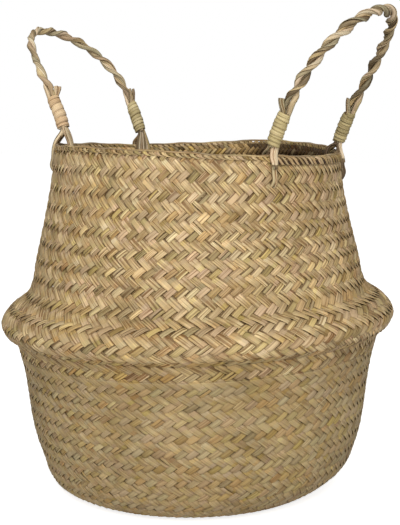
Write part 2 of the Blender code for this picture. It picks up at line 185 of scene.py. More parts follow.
def outline_keys():
    """Key points (radius, height) of the outer face, from the base's edge to the rim."""
    keys = []
    for share in CORNER_SHARES:
        angle = share * CORNER_ANGLE
        keys.append((BASE_RADIUS + CORNER_WIDTH * sin(angle), CORNER_HEIGHT * (1 - cos(angle))))
    rounded = NOSE_RADIUS - NOSE_ROUNDING
    keys += [LOWER_TOP, TUCK, (rounded, NOSE_HEIGHT - NOSE_HALF_HEIGHT), (NOSE_RADIUS, NOSE_HEIGHT),
             (rounded, NOSE_HEIGHT + NOSE_HALF_HEIGHT), (FLARE_RADIUS, FLARE_HEIGHT)]
    for share in UPPER_SHARES:
        taper = (1 - share) ** UPPER_CURVE_POWER
        keys.append((RIM_RADIUS + (FLARE_RADIUS - RIM_RADIUS) * taper,
                     FLARE_HEIGHT + (RIM_HEIGHT - FLARE_HEIGHT) * share))
    keys.append((RIM_RADIUS, RIM_HEIGHT))
    return keys


def smooth_curve(keys, steps, closed=False):
    """Run a smooth curve through key points, with the same steps between each two."""
    points = np.array(keys, float)
    count = len(points)
    spans = count if closed else count - 1
    after = np.roll(points, -1, axis=0)[:spans]
    lengths = np.linalg.norm(after - points[:spans], axis=1)
    slopes = (after - points[:spans]) / lengths[:, None]
    tangents = np.empty_like(points)
    for i in range(count):
        if not closed and i in (0, count - 1):
            tangents[i] = slopes[0 if i == 0 else -1]
        else:
            before = (i - 1) % count
            blend = slopes[before] * lengths[i] + slopes[i] * lengths[before]
            tangents[i] = blend / (lengths[before] + lengths[i])
    curve = []
    for i in range(spans):
        start, end = points[i], points[(i + 1) % count]
        leave, arrive = tangents[i] * lengths[i], tangents[(i + 1) % count] * lengths[i]
        for step in range(steps):
            t = step / steps
            curve.append(start * (2 * t**3 - 3 * t**2 + 1) + leave * (t**3 - 2 * t**2 + t)
                         + end * (3 * t**2 - 2 * t**3) + arrive * (t**3 - t**2))
    if not closed:
        curve.append(points[-1])
    return np.array(curve)


class Outline:
    """The wall's outline with the winding of its strips, looked up by row of crossings."""

    def __init__(self, weave):
        points = smooth_curve(outline_keys(), OUTLINE_STEPS)
        lengths = np.linalg.norm(np.diff(points, axis=0), axis=1)
        along = np.gradient(points, axis=0)
        along /= np.linalg.norm(along, axis=1)[:, None]
        along[0] = (1, 0)
        self.run = np.concatenate(([0], np.cumsum(lengths)))
        self.normals = np.stack((along[:, 1], -along[:, 0]), -1)
        self.middle = points - self.normals * (WALL_THICKNESS / 2)
        radius = (points[1:, 0] + points[:-1, 0]) / 2
        level = (points[1:, 1] + points[:-1, 1]) / 2
        high = smoothstep((level - LOWER_TOP[1]) / (NOSE_HEIGHT - LOWER_TOP[1]))
        width = weave.lower_strip_width * (1 - high) + weave.strip_width * high
        belly = np.exp(-((level - BELLY_MIDDLE) / BELLY_REACH) ** 2)
        width = width + (weave.belly_strip_width - width) * belly
        upright = np.minimum(weave.strips_around * width / (2 * pi * radius), MOST_UPRIGHT)
        slope = np.sqrt(1 - upright**2) / upright
        turning = np.concatenate(([0], np.cumsum(slope / radius * lengths)))
        self.rows = weave.strips_around * turning / pi

    def row_of_key(self, key):
        """Row of crossings at one of the outline's key points."""
        return self.rows[key * OUTLINE_STEPS]

    def place(self, turn, row, height):
        """Points of the wall at an angle round it, a row and a height over its middle."""
        radius, level = (np.interp(row, self.rows, self.middle[:, i]) for i in (0, 1))
        out, up = (np.interp(row, self.rows, self.normals[:, i]) for i in (0, 1))
        return ring_places(radius + out * height, turn, level + up * height)


def ribbon_mesh(name, points, **looks):
    """Mesh of closed ribbons. points is (ribbons, rows, section, 3); each look fits its first three."""
    ribbons, rows, section = points.shape[:3]
    shape = (ribbons, rows, section)
    looks = {label: np.broadcast_to(values, shape) for label, values in looks.items()}
    first = points[0]
    rolled = np.roll(first, -1, axis=1)
    corner = np.cross(rolled[:-1] - first[:-1], first[1:] - first[:-1])
    middle = first.mean(axis=1, keepdims=True)
    if (corner * (first - middle)[:-1]).sum() < 0:
        points = points[:, :, ::-1]
        looks = {label: values[..., ::-1] for label, values in looks.items()}
    number = np.arange(ribbons * rows * section).reshape(shape)
    turned = np.roll(number, -1, axis=2)
    quads = np.stack((number[:, :-1], turned[:, :-1], turned[:, 1:], number[:, 1:]), -1).reshape(-1, 4)
    caps = np.concatenate((number[:, 0, ::-1], number[:, -1]))
    corners = np.concatenate((quads.ravel(), caps.ravel()))
    starts = np.concatenate((np.arange(len(quads)) * 4,
                             len(quads) * 4 + np.arange(len(caps)) * section))
    mesh = bpy.data.meshes.new(name)
    mesh.vertices.add(number.size)
    mesh.vertices.foreach_set("co", points.reshape(-1))
    mesh.loops.add(len(corners))
    mesh.loops.foreach_set("vertex_index", corners.astype(np.int32))
    mesh.polygons.add(len(starts))
    mesh.polygons.foreach_set("loop_start", starts.astype(np.int32))
    mesh.update(calc_edges=True)
    mesh.shade_smooth()
    for label in LOOKS:
        layer = mesh.attributes.new(label, "FLOAT", "POINT")
        values = looks[label]
        layer.data.foreach_set("value", values.ravel().astype(np.float32))
    add_bake_map(mesh, points, ribbons, rows, section)
    return mesh


def add_bake_map(mesh, points, ribbons, rows, section):
    """Lay every ribbon out flat in a tile of its own, its two end faces as rings inside the tile."""
    around = np.linalg.norm(np.diff(points[0], axis=1, append=points[0][:, :1]), axis=-1).sum(axis=1).mean()
    length = np.linalg.norm(np.diff(points[0, :, 0], axis=0), axis=-1).sum()
    columns = max(1, round((ribbons * length / around) ** 0.5))
    lines = -(-ribbons // columns)
    tile = np.array((1 / columns, 1 / lines))
    corner = np.stack((np.arange(ribbons) % columns, np.arange(ribbons) // columns), -1) * tile
    side = BAKE_MARGIN + (1 - 2 * BAKE_MARGIN) * np.arange(section + 1) / section
    rise = BAKE_MARGIN + (1 - 2 * BAKE_MARGIN) * np.arange(rows) / (rows - 1)
    grid = np.stack(np.broadcast_arrays(side[None, :], rise[:, None]), -1)
    quads = np.stack((grid[:-1, :-1], grid[:-1, 1:], grid[1:, 1:], grid[1:, :-1]), 2).reshape(-1, 2)
    angle = 2 * pi * np.arange(section) / section
    ring = np.stack((0.5 + 0.3 * np.cos(angle), 0.5 + 0.3 * np.sin(angle)), -1) * (1, BAKE_MARGIN)
    parts = [corner[:, None] + part[None] * tile for part in (quads, ring, ring + (0, 1 - BAKE_MARGIN))]
    places = np.concatenate([part.reshape(-1, 2) for part in parts])
    layer = mesh.uv_layers.new(name="OFBake")
    layer.data.foreach_set("uv", places.ravel().astype(np.float32))


def keep_rest_place(mesh):
    """Store each point's place, so that stains stay with the piece in every pose."""
    places = np.empty(len(mesh.vertices) * 3, np.float32)
    mesh.vertices.foreach_get("co", places)
    layer = mesh.attributes.new("rest_place", "FLOAT_VECTOR", "POINT")
    layer.data.foreach_set("vector", places)


def add_piece(name, mesh, material, body=None):
    """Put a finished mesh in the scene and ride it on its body."""
    keep_rest_place(mesh)
    mesh.materials.append(material)
    piece = bpy.data.objects.new(name, mesh)
    bpy.context.scene.collection.objects.link(piece)
    if body:
        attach(piece, body)
    return piece


def float_height(cell):
    """Height of a strip over the wall's middle, from 1 on top to -1 below, by its crossings."""
    wave = np.cos(2 * pi * (cell - FLOAT_MIDDLE) / TWILL_REPEAT) - FALLING_LEAD
    return np.tanh(FLOAT_SQUARENESS * wave) / np.tanh(FLOAT_SQUARENESS)


def scatter(first, second):
    """Number from 0 to 1 that looks random, for each pair of whole numbers."""
    return np.modf(np.abs(np.sin(first * 12.9898 + second * 78.233) * 43758.5453))[0]


def knots_between(start, end, knots, repeat):
    """Rows where a ribbon gets a ring of points: both ends, and the knots between them."""
    first = int(np.floor(start / repeat)) - 1
    last = int(np.ceil(end / repeat)) + 1
    rows = np.array([cycle * repeat + knot for cycle in range(first, last) for knot in knots])
    rows = rows[(rows > start + KNOT_MARGIN) & (rows < end - KNOT_MARGIN)]
    return np.concatenate(([start], rows, [end]))


def strip_list(weave, half_width, seed):
    """Strips of one family: number, middle and half width in strip widths, and a random seed."""
    random = np.random.default_rng(seed)
    strips = []
    for number in range(weave.strips_around):
        narrow = half_width * (1 - weave.looseness * random.random())
        if random.random() < weave.split_share:
            cut = -narrow + 2 * narrow * random.uniform(0.35, 0.65)
            for start, finish in ((-narrow, cut - SPLIT_GAP), (cut + SPLIT_GAP, narrow)):
                strips.append((number, (finish + start) / 2, (finish - start) / 2, random.random()))
        else:
            strips.append((number, random.uniform(-PLACE_SPREAD, PLACE_SPREAD), narrow, random.random()))
    return np.array(strips)


def woven_wall(name, weave, first_key, last_key):
    """Mesh pieces of both families of strips between two key points of the outline."""
    outline = Outline(weave)
    start, end = outline.row_of_key(first_key), outline.row_of_key(last_key)
    rows = knots_between(start, end, ROW_KNOTS, TWILL_REPEAT)[None, :, None]
    ends = np.minimum(1, np.minimum(rows - start, end - rows))
    meshes = []
    for family, direction, half_width in (("rising", 1, weave.rising_half),
                                          ("falling", -1, weave.falling_half)):
        strips = strip_list(weave, half_width, 11 + direction)
        number, middle, half, seed = (column[:, None, None] for column in strips.T)
        random = np.random.default_rng(29 + direction)
        phases = random.uniform(0, 2 * pi, (2, len(strips), 1, 1))
        drift = weave.drift * (np.sin(0.37 * rows + phases[0]) + 0.7 * np.sin(0.91 * rows + phases[1]))
        width = half * (1 + 0.5 * weave.looseness * np.sin(0.53 * rows + phases[1]))
        beside = middle + drift + width * STRIP_SIDE
        row = rows - direction * beside * ends
        own = number + beside
        other = own + direction * row
        cell = (other - number) * direction
        height = direction * float_height(cell)
        high = weave.float_height * height * (1 + 0.25 * weave.looseness * np.sin(1.3 * cell + phases[0]))
        high = high + direction * weave.shingle * (beside / half_width)
        turn = pi * (own + other) / weave.strips_around
        points = outline.place(turn, row, high + STRIP_LIFT * weave.strip_thickness)
        along = np.interp(row, outline.rows, outline.run) * STRIP_LENGTH_SHARE
        patch = scatter(number, np.floor((cell + FLOAT_MIDDLE + 1) / TWILL_REPEAT))
        tone = 0.08 + 0.34 * seed + 0.5 * patch
        meshes.append(ribbon_mesh(f"{name}_{family}", points, across=direction * STRIP_SIDE, along=along,
                                  seed=seed, depth=height, tone=tone))
    return meshes


def woven_base(name, weave):
    """Flat twill of straight strips, cut to the round bottom."""
    width = weave.strip_width
    count = int(BASE_RADIUS / width)
    number = np.arange(-count, count + 1)[:, None, None]
    rows = knots_between(-count - 1, count + 1, ROW_KNOTS, TWILL_REPEAT)[None, :, None]
    across = (number + STRIP_HALF * STRIP_SIDE) * width
    reach = np.sqrt(np.maximum(BASE_RADIUS**2 - across**2, (0.1 * width) ** 2))
    run = rows / (count + 1) * reach
    meshes = []
    for family, direction in enumerate((1, -1)):
        height = direction * float_height(direction * (run / width - number))
        level = WALL_THICKNESS / 2 + weave.float_height * height + STRIP_LIFT * weave.strip_thickness
        places = np.broadcast_arrays(*(across, run)[::direction], level)
        seed = np.random.default_rng(53 + family).random((len(number), 1, 1))
        meshes.append(ribbon_mesh(f"{name}_{family}", settled(np.stack(places, -1)), across=STRIP_SIDE,
                                  along=run, seed=seed, depth=height, tone=seed))
    return meshes


def joined(name, meshes):
    """One mesh from several, which keeps their attributes and bake maps in tiles side by side."""
    count = len(meshes)
    for number, mesh in enumerate(meshes):
        layer = mesh.uv_layers["OFBake"]
        places = np.empty(len(mesh.loops) * 2, np.float32)
        layer.data.foreach_get("uv", places)
        places[0::2] = (places[0::2] + number) / count
        layer.data.foreach_set("uv", places)
    objects = [bpy.data.objects.new(mesh.name, mesh) for mesh in meshes]
    for made in objects:
        bpy.context.scene.collection.objects.link(made)
    with bpy.context.temp_override(active_object=objects[0], selected_editable_objects=objects,
                                   selected_objects=objects):
        bpy.ops.object.join()
    mesh = objects[0].data
    bpy.data.objects.remove(objects[0])
    mesh.name = name
    return mesh


def half_span(handle):
    """Half the distance between a handle's two legs."""
    return RIM_RADIUS * sin(LEG_ANGLES[handle])


def pivot_place(handle):
    """Middle of a handle's pivot line, before the basket's lean."""
    return np.array((SIDES[handle] * RIM_RADIUS * cos(LEG_ANGLES[handle]), 0, RIM_HEIGHT + PIVOT_RISE))


def sheet_place(handle, across, up):
    """World places of points of a handle's sheet, with the sheet's up and outward directions."""
    across, up = np.broadcast_arrays(np.asarray(across, float), np.asarray(up, float))
    side, foot_lean = SIDES[handle], FOOT_LEANS[handle]
    turn = (TOP_LEANS[handle] - foot_lean) / (HANDLE_RISES[handle] - BEND_START)
    lean = foot_lean + turn * np.maximum(up - BEND_START, 0)
    straight = np.minimum(up, BEND_START)
    out = straight * sin(foot_lean) + (cos(foot_lean) - np.cos(lean)) / turn
    rise = straight * cos(foot_lean) + (np.sin(lean) - sin(foot_lean)) / turn
    pivot = pivot_place(handle)
    x = pivot[0] + side * (out - LEG_INSETS[handle])
    level = 0 * lean
    return (np.stack((x, across, pivot[2] + rise), -1),
            np.stack((side * np.sin(lean), level, np.cos(lean)), -1),
            np.stack((side * np.cos(lean), level, -np.sin(lean)), -1))


def leg_place(handle, end, across, out, up):
    """Settled places by a leg: across it, out of the sheet, and up from its foot."""
    middle = LEG_ENDS[end] * half_span(handle)
    place, _, outward = sheet_place(handle, middle + across, FOOT_RISES[handle][end] + up)
    return settled(place + outward * np.asarray(out)[..., None])


def handle_line(handle):
    """Middle line of a handle in its sheet, with the distance run at each point."""
    span, arch = half_span(handle), HANDLE_RISES[handle] - LEG_LENGTH
    legs = {}
    for end, side in LEG_ENDS.items():
        ups = np.arange(FOOT_RISES[handle][end], LEG_LENGTH, LINE_STEP)
        legs[end] = np.stack((side * span + 0 * ups, ups), -1)
    angles = np.linspace(0, pi, round(pi * (span + arch) / 2 / LINE_STEP) + 1)
    bow = np.stack((-span * np.cos(angles), LEG_LENGTH + arch * np.sin(angles)), -1)
    line = np.concatenate((legs["front"], bow[1:-1], legs["back"][::-1]))
    steps = np.linalg.norm(np.diff(line, axis=0), axis=1)
    return line, np.concatenate(([0], np.cumsum(steps)))


class HandleFrame:
    """Places beside a handle's middle line, by distance run along it."""

    def __init__(self, handle):
        self.handle = handle
        self.line, self.runs = handle_line(handle)
        self.total = self.runs[-1]

    def at(self, run):
        """Point of the middle line in the sheet at a run."""
        return np.stack([np.interp(run, self.runs, self.line[:, i]) for i in (0, 1)], -1)

    def place(self, run, beside, out):
        """Settled places at runs, beside the line in its sheet and out of the sheet."""
        run = np.asarray(run, float)
        along = self.at(run + LINE_STEP / 2) - self.at(run - LINE_STEP / 2)
        along /= np.linalg.norm(along, axis=-1)[..., None]
        middle = self.at(run)
        place, upward, outward = sheet_place(self.handle, middle[..., 0], middle[..., 1])
        beside, out = np.asarray(beside)[..., None], np.asarray(out)[..., None]
        across = np.array((0.0, 1.0, 0.0)) * (-along[..., 1:] * beside)
        return settled(place + across + upward * (along[..., :1] * beside) + outward * out)


def strand_offsets(handle, number, run, total):
    """Offsets of one strand: bundled in the legs and twisted with the other between them."""
    away = (1, -1)[number]
    near = np.minimum(run, total - run)
    folded = np.where(run < total / 2, FOLDED_SIDES[handle]["front"], FOLDED_SIDES[handle]["back"])
    twisted = total - 2 * (BINDING_LENGTH + OPENING_OUT)
    turns = round(twisted / TWIST_PITCH)
    travel = np.clip(run - BINDING_LENGTH - OPENING_OUT, 0, twisted)
    phase = away * pi / 2 + 2 * pi * turns * travel / twisted
    share = smoothstep((near - BINDING_LENGTH) / OPENING_OUT)
    reach = TWIST_RADIUS * np.interp(run / total, TIGHTNESS_PLACES, TWIST_TIGHTNESS[handle])
    beside = -folded * BUNDLE_RADIUS * sin(pi / 6) * (1 - share) + reach * np.cos(phase) * share
    out = away * BUNDLE_RADIUS * cos(pi / 6) * (1 - share) + reach * np.sin(phase) * share
    return beside, out, share


def path_frames(points, hint):
    """Directions along and across a path. hint says which way the first across points."""
    along = np.gradient(points, axis=0)
    along /= np.linalg.norm(along, axis=1)[:, None]
    first = np.broadcast_to(np.asarray(hint, float), points.shape)
    first = first - (first * along).sum(axis=1)[:, None] * along
    first /= np.linalg.norm(first, axis=1)[:, None]
    return along, first, np.cross(along, first)


def flat_section(count):
    """Closed section of a flat blade: sides from -1 to 1 and back, and 1 where they are its outer face."""
    sides = np.linspace(-1, 1, count)
    return np.concatenate((sides, sides[::-1])), np.repeat((1.0, 0.0), count)


def blades_along(name, points, hint, reach, breadth, blades, seed, lay=0.16, tone=0.5, crevice=0.0):
    """Strand of grass blades round a path. reach is its half depth along hint, breadth across it.

    lay is the length of a blade's turn round the strand, and crevice how much the side away from
    hint is shaded.
    """
    random = np.random.default_rng(seed)
    points = np.asarray(points, float)
    _, first, second = path_frames(points, hint)
    run = np.concatenate(([0], np.cumsum(np.linalg.norm(np.diff(points, axis=0), axis=1))))
    reach, breadth, tone, crevice = (np.broadcast_to(value, run.shape)[:, None]
                                     for value in (reach, breadth, tone, crevice))
    profile, outer = flat_section(BLADE_POINTS)
    inward = BLADE_THICKNESS * (1 - outer)
    shares = random.uniform(0.7, 1.3, blades)
    shares = shares / shares.sum()
    starts = np.cumsum(shares) - shares / 2
    phase = random.uniform(0, 2 * pi)
    made, seeds, tones, depths = [], [], [], []
    for start, share in zip(starts, shares):
        waves = random.uniform(0, 2 * pi, 4)
        centre = phase + 2 * pi * (start + run / lay) + 0.2 * np.sin(run / 0.013 + waves[0])
        wide = 1.2 * pi * share * (1 + 0.22 * np.sin(run / 0.019 + waves[1]))
        angle = centre[:, None] + wide[:, None] * profile
        swell = 1 + random.uniform(-0.06, 0.10) + 0.08 * np.sin(run / 0.009 + waves[2])
        size = swell[:, None] + 0.07 * np.cos(profile * pi * 1.5 + waves[3]) + 0.12 * profile
        made.append(points[:, None] + first[:, None] * ((reach * size - inward) * np.cos(angle))[..., None]
                    + second[:, None] * ((breadth * size - inward) * np.sin(angle))[..., None])
        seeds.append(random.random())
        tones.append(tone + random.uniform(-BLADE_TONES, BLADE_TONES))
        depths.append(2 * outer - 1 - crevice * np.clip(0.35 - np.cos(angle), 0, 1))
    return ribbon_mesh(name, np.array(made), across=profile, along=run[None, :, None],
                       seed=np.array(seeds)[:, None, None], depth=np.array(depths), tone=np.array(tones))


def group_socket(group, way, kind, name, value=None):
    """Add a socket to a node group, with its default."""
    made = group.interface.new_socket(name=name, in_out=way, socket_type="NodeSocket" + kind)
    if value is not None:
        made.default_value = value
    return made


class Nodes:
    """Short ways to add and link shader nodes in one tree."""

    def __init__(self, tree):
        self.tree = tree

    def add(self, kind, **values):
        node = self.tree.nodes.new("ShaderNode" + kind)
        for name, value in values.items():
            setattr(node, name, value)
        return node

    def link(self, source, target):
        self.tree.links.new(source, target)

    def feed(self, socket, value):
        """Set a socket to a number or colour, or link it to another socket."""
        if isinstance(value, bpy.types.NodeSocket):
            self.link(value, socket)
        else:
            socket.default_value = value

    def math(self, operation, first, second=0.0, third=0.0):
        node = self.add("Math", operation=operation)
        for socket, value in zip(node.inputs, (first, second, third)):
            self.feed(socket, value)
        return node.outputs[0]

    def attribute(self, name):
        return self.add("Attribute", attribute_name=name).outputs["Fac"]

    def vector(self, x, y, z):
        node = self.add("CombineXYZ")
        for socket, value in zip(node.inputs, (x, y, z)):
            self.feed(socket, value)
        return node.outputs[0]

    def noise(self, vector, scale, detail=2.0, roughness=0.5):
        node = self.add("TexNoise")
        self.link(vector, node.inputs["Vector"])
        node.inputs["Scale"].default_value = scale
        node.inputs["Detail"].default_value = detail
        node.inputs["Roughness"].default_value = roughness
        return node.outputs["Fac"]

    def between(self, value, low, high):
        """Bring a value's range low to high to 0 to 1, eased."""
        node = self.add("MapRange", interpolation_type="SMOOTHSTEP")
        self.feed(node.inputs["Value"], value)
        self.feed(node.inputs["From Min"], low)
        self.feed(node.inputs["From Max"], high)
        return node.outputs["Result"]

    def mix(self, share, first, second, blend="MIX"):
        node = self.add("Mix", data_type="RGBA", blend_type=blend)
        self.feed(node.inputs[0], share)
        self.feed(node.inputs[6], first)
        self.feed(node.inputs[7], second)
        return node.outputs[2]


FIBRE_SCALE = 2000.0
PLEAT_SCALE = 900.0
PATCH_SCALE = 42.0
STAIN_SCALE = 15.0


def grass_group():
    """Node group for dried grass: colours by tone, fibres, stains, painted highlights on pleats and lifted
    edges, and painted shade where strips go under and in slits beside their edges.
    """
    group = bpy.data.node_groups.new("dried_grass", "ShaderNodeTree")
    for name, colour in (("Pale", (0.7, 0.55, 0.34, 1)), ("Middle", (0.45, 0.33, 0.18, 1)),
                         ("Brown", (0.26, 0.17, 0.08, 1)), ("Accent", (0.5, 0.31, 0.2, 1))):
        group_socket(group, "INPUT", "Color", name, colour)
    for name, value in (("Fibre contrast", 0.9), ("Stain", 0.55), ("Hidden shade", 0.78),
                        ("Half width", 0.0033), ("Spread", 1.0), ("Lit edge", 0.6)):
        group_socket(group, "INPUT", "Float", name, value)
    group_socket(group, "OUTPUT", "Color", "Color")
    group_socket(group, "OUTPUT", "Float", "Roughness")
    group_socket(group, "OUTPUT", "Float", "Height")
    n = Nodes(group)
    enter, leave = (group.nodes.new("NodeGroup" + way) for way in ("Input", "Output"))
    given = enter.outputs
    across, along, seed, depth, tone = (n.attribute(name) for name in LOOKS)
    beside = n.math("MULTIPLY", across, given["Half width"])
    own = n.math("MULTIPLY", seed, 40.0)
    lengthwise = n.vector(beside, n.math("MULTIPLY", along, 0.02), own)
    fibres = n.noise(lengthwise, FIBRE_SCALE, 2.0, 0.6)
    pleats = n.noise(lengthwise, PLEAT_SCALE, 1.0, 0.5)
    patches = n.noise(n.vector(0.0, along, n.math("ADD", own, 7.0)), PATCH_SCALE, 2.0, 0.6)
    rest = n.add("Attribute", attribute_name="rest_place").outputs["Vector"]
    stains = n.noise(rest, STAIN_SCALE, 3.0, 0.6)
    odds = n.add("TexWhiteNoise", noise_dimensions="2D")
    n.link(n.vector(own, n.math("MULTIPLY", tone, 31.0), 0.0), odds.inputs["Vector"])
    parts = n.add("SeparateColor")
    n.link(odds.outputs["Color"], parts.inputs[0])
    chance = parts.outputs
    pick = n.math("ADD", tone, n.math("MULTIPLY", n.math("SUBTRACT", patches, 0.5), 0.6))
    colour = n.mix(n.between(pick, 0.5, 0.85), given["Middle"], given["Pale"])
    colour = n.mix(n.between(pick, 0.42, 0.12), colour, given["Brown"])
    colour = n.mix(n.math("MULTIPLY", n.between(chance[0], 0.74, 0.92), 0.75), colour, given["Accent"])
    varied = n.add("HueSaturation")
    for socket, source, reach, middle in (("Hue", chance[1], 0.030, 0.503), ("Value", chance[2], 0.15, 1.0),
                                          ("Saturation", chance[0], -0.42, 1.06)):
        shift = n.math("MULTIPLY", n.math("SUBTRACT", source, 0.5), given["Spread"])
        n.link(n.math("MULTIPLY_ADD", shift, reach, middle), varied.inputs[socket])
    n.link(colour, varied.inputs["Color"])
    colour = varied.outputs["Color"]
    dark = n.mix(1.0, colour, (0.42, 0.30, 0.18, 1), "MULTIPLY")
    light = n.mix(1.0, colour, (1.35, 1.32, 1.25, 1), "MULTIPLY")
    # This contrast scales the fibres' own grain and also the painted shade and painted highlight on the
    # pleats.
    contrast = n.math("MULTIPLY", given["Fibre contrast"], n.math("ADD", 0.5, chance[2]))
    # Dark lines: the fibres' own grain, and painted shade in the pleats' grooves.
    line = n.math("MAXIMUM", n.between(pleats, 0.48, 0.36),
                  n.math("MULTIPLY", n.between(fibres, 0.5, 0.3), 0.6))
    colour = n.mix(n.math("MULTIPLY", line, contrast), colour, dark)
    # Painted highlight along the pleats' ridges.
    pleat_highlight = n.math("MULTIPLY", n.between(pleats, 0.52, 0.68), contrast)
    colour = n.mix(n.math("MULTIPLY", pleat_highlight, 0.7), colour, light)
    stained = n.math("MULTIPLY", n.between(stains, 0.48, 0.72), given["Stain"])
    colour = n.mix(stained, colour, n.mix(1.0, colour, (0.66, 0.62, 0.50, 1), "MULTIPLY"))
    # Painted highlight along a strip's lifted edge.
    lit = n.math("MULTIPLY", n.between(across, 0.55, 0.95), n.between(chance[2], 0.3, 0.9))
    colour = n.mix(n.math("MULTIPLY", lit, given["Lit edge"]), colour, light)
    # Painted shadow in a thin slit along one edge of some strips, under the lifted neighbour.
    slit_shadow = n.math("MULTIPLY", n.between(across, -0.38, -0.60), n.between(chance[1], 0.38, 0.75))
    # Painted shade where a strip dives under the crossing strip, and on faces turned inward.
    recess_shade = n.math("MULTIPLY", n.between(depth, 0.1, -0.9), 0.75)
    colour = n.mix(n.math("MULTIPLY", recess_shade, given["Hidden shade"]), colour, dark)
    shadow_colour = n.mix(1.0, colour, (0.20, 0.13, 0.07, 1), "MULTIPLY")
    colour = n.mix(n.math("MULTIPLY", slit_shadow, given["Hidden shade"]), colour, shadow_colour)
    n.link(colour, leave.inputs["Color"])
    rough = n.math("ADD", 0.5, n.math("MULTIPLY", fibres, 0.25))
    n.link(rough, leave.inputs["Roughness"])
    height = n.math("ADD", n.math("MULTIPLY", fibres, 0.4), n.math("MULTIPLY", pleats, 0.9))
    n.link(height, leave.inputs["Height"])
    return group


# The fold, lower and inner palettes are darker copies of the grass: painted shade on and below the belly and
# inside the rim.
GRASS = {
    "upper": dict(pale=(0.65, 0.505, 0.30), middle=(0.465, 0.338, 0.184), brown=(0.315, 0.235, 0.118),
                  accent=(0.58, 0.39, 0.185)),
    "lower": dict(pale=(0.455, 0.345, 0.192), middle=(0.39, 0.283, 0.148), brown=(0.30, 0.21, 0.107),
                  accent=(0.395, 0.288, 0.137)),
    "fold": dict(pale=(0.57, 0.43, 0.245), middle=(0.43, 0.308, 0.155), brown=(0.27, 0.182, 0.082),
                 accent=(0.45, 0.305, 0.14)),
    "inner": dict(pale=(0.66, 0.465, 0.24), middle=(0.31, 0.20, 0.085), brown=(0.085, 0.047, 0.018),
                  accent=(0.26, 0.19, 0.08)),
    "cord": dict(pale=(0.60, 0.45, 0.26), middle=(0.46, 0.33, 0.18), brown=(0.27, 0.185, 0.09),
                 accent=(0.42, 0.31, 0.17)),
    "strand": dict(pale=(0.74, 0.60, 0.43), middle=(0.46, 0.35, 0.215), brown=(0.17, 0.12, 0.07),
                   accent=(0.34, 0.30, 0.17)),
    "binding": dict(pale=(0.70, 0.58, 0.345), middle=(0.50, 0.405, 0.215), brown=(0.34, 0.27, 0.135),
                    accent=(0.43, 0.365, 0.175)),
    "peach": dict(pale=(0.80, 0.61, 0.40), middle=(0.66, 0.46, 0.28), brown=(0.46, 0.31, 0.17),
                  accent=(0.64, 0.43, 0.26)),
    # Colours of the sheet of painted shadow inside the rim's fold.
    "dark": dict(pale=(0.16, 0.10, 0.05), middle=(0.11, 0.068, 0.034), brown=(0.07, 0.042, 0.02),
                 accent=(0.10, 0.07, 0.035)),
}


def grass_material(name, colours, bump=0.35, **shares):
    """Material of one piece of dried grass."""
    material = bpy.data.materials.get(name) or bpy.data.materials.new(name)
    material.use_nodes = True
    n = Nodes(material.node_tree)
    shader = material.node_tree.nodes["Principled BSDF"]
    group = bpy.data.node_groups.get("dried_grass") or grass_group()
    grass = n.add("Group", node_tree=group)
    for label, colour in GRASS[colours].items():
        grass.inputs[label.capitalize()].default_value = (*colour, 1)
    for label, value in shares.items():
        grass.inputs[label.replace("_", " ").capitalize()].default_value = value
    n.link(grass.outputs["Color"], shader.inputs["Base Color"])
    n.link(grass.outputs["Roughness"], shader.inputs["Roughness"])
    bumps = n.add("Bump")
    bumps.inputs["Strength"].default_value = bump
    bumps.inputs["Distance"].default_value = BUMP_DEPTH
    n.link(grass.outputs["Height"], bumps.inputs["Height"])
    n.link(bumps.outputs["Normal"], shader.inputs["Normal"])
    shader.inputs["Specular IOR Level"].default_value = 0.35
    return material


class WeaveSettings(bpy.types.PropertyGroup):
    """Sizes of the woven strips."""

    strips_around: bpy.props.IntProperty(
        name="Strips around", description="Strips of one family round the basket, a multiple of 4",
        default=104, min=40, max=160, step=4)
    strip_width: bpy.props.FloatProperty(
        name="Strip width", description="Spacing of the strips, square to their length",
        default=0.0060, min=0.003, max=0.012, precision=4, unit="LENGTH")
    lower_strip_width: bpy.props.FloatProperty(
        name="Lower strip width", description="Spacing of the strips below the belly",
        default=0.0058, min=0.003, max=0.012, precision=4, unit="LENGTH")
    belly_strip_width: bpy.props.FloatProperty(
        name="Belly strip width", description="Spacing of the strips on the belly",
        default=0.0073, min=0.003, max=0.012, precision=4, unit="LENGTH")
    rising_half: bpy.props.FloatProperty(
        name="Rising half width", description="Half width of a rising strip, in strip spacings",
        default=0.53, min=0.3, max=0.8)
    falling_half: bpy.props.FloatProperty(
        name="Falling half width", description="Half width of a falling strip, in strip spacings",
        default=0.64, min=0.3, max=0.8)
    shingle: bpy.props.FloatProperty(
        name="Shingle", description="How far a strip's lower edge lifts over the next one",
        default=0.0004, min=0, max=0.001, precision=5, unit="LENGTH")
    strip_thickness: bpy.props.FloatProperty(
        name="Strip thickness", description="Thickness of one folded grass strip",
        default=0.0006, min=0.0003, max=0.002, precision=4, unit="LENGTH")
    float_height: bpy.props.FloatProperty(
        name="Float height", description="How far a strip rises over the wall's middle",
        default=0.0010, min=0.0002, max=0.002, precision=4, unit="LENGTH")
    looseness: bpy.props.FloatProperty(
        name="Looseness", description="How uneven the strips are", default=0.17, min=0, max=0.5,
        subtype="FACTOR")
    drift: bpy.props.FloatProperty(
        name="Drift", description="How far a strip wanders, in strip widths", default=0.06, min=0,
        max=0.1)
    split_share: bpy.props.FloatProperty(
        name="Split strips", description="Share of the strips that are two narrow ones side by side",
        default=0.10, min=0, max=1, subtype="FACTOR")


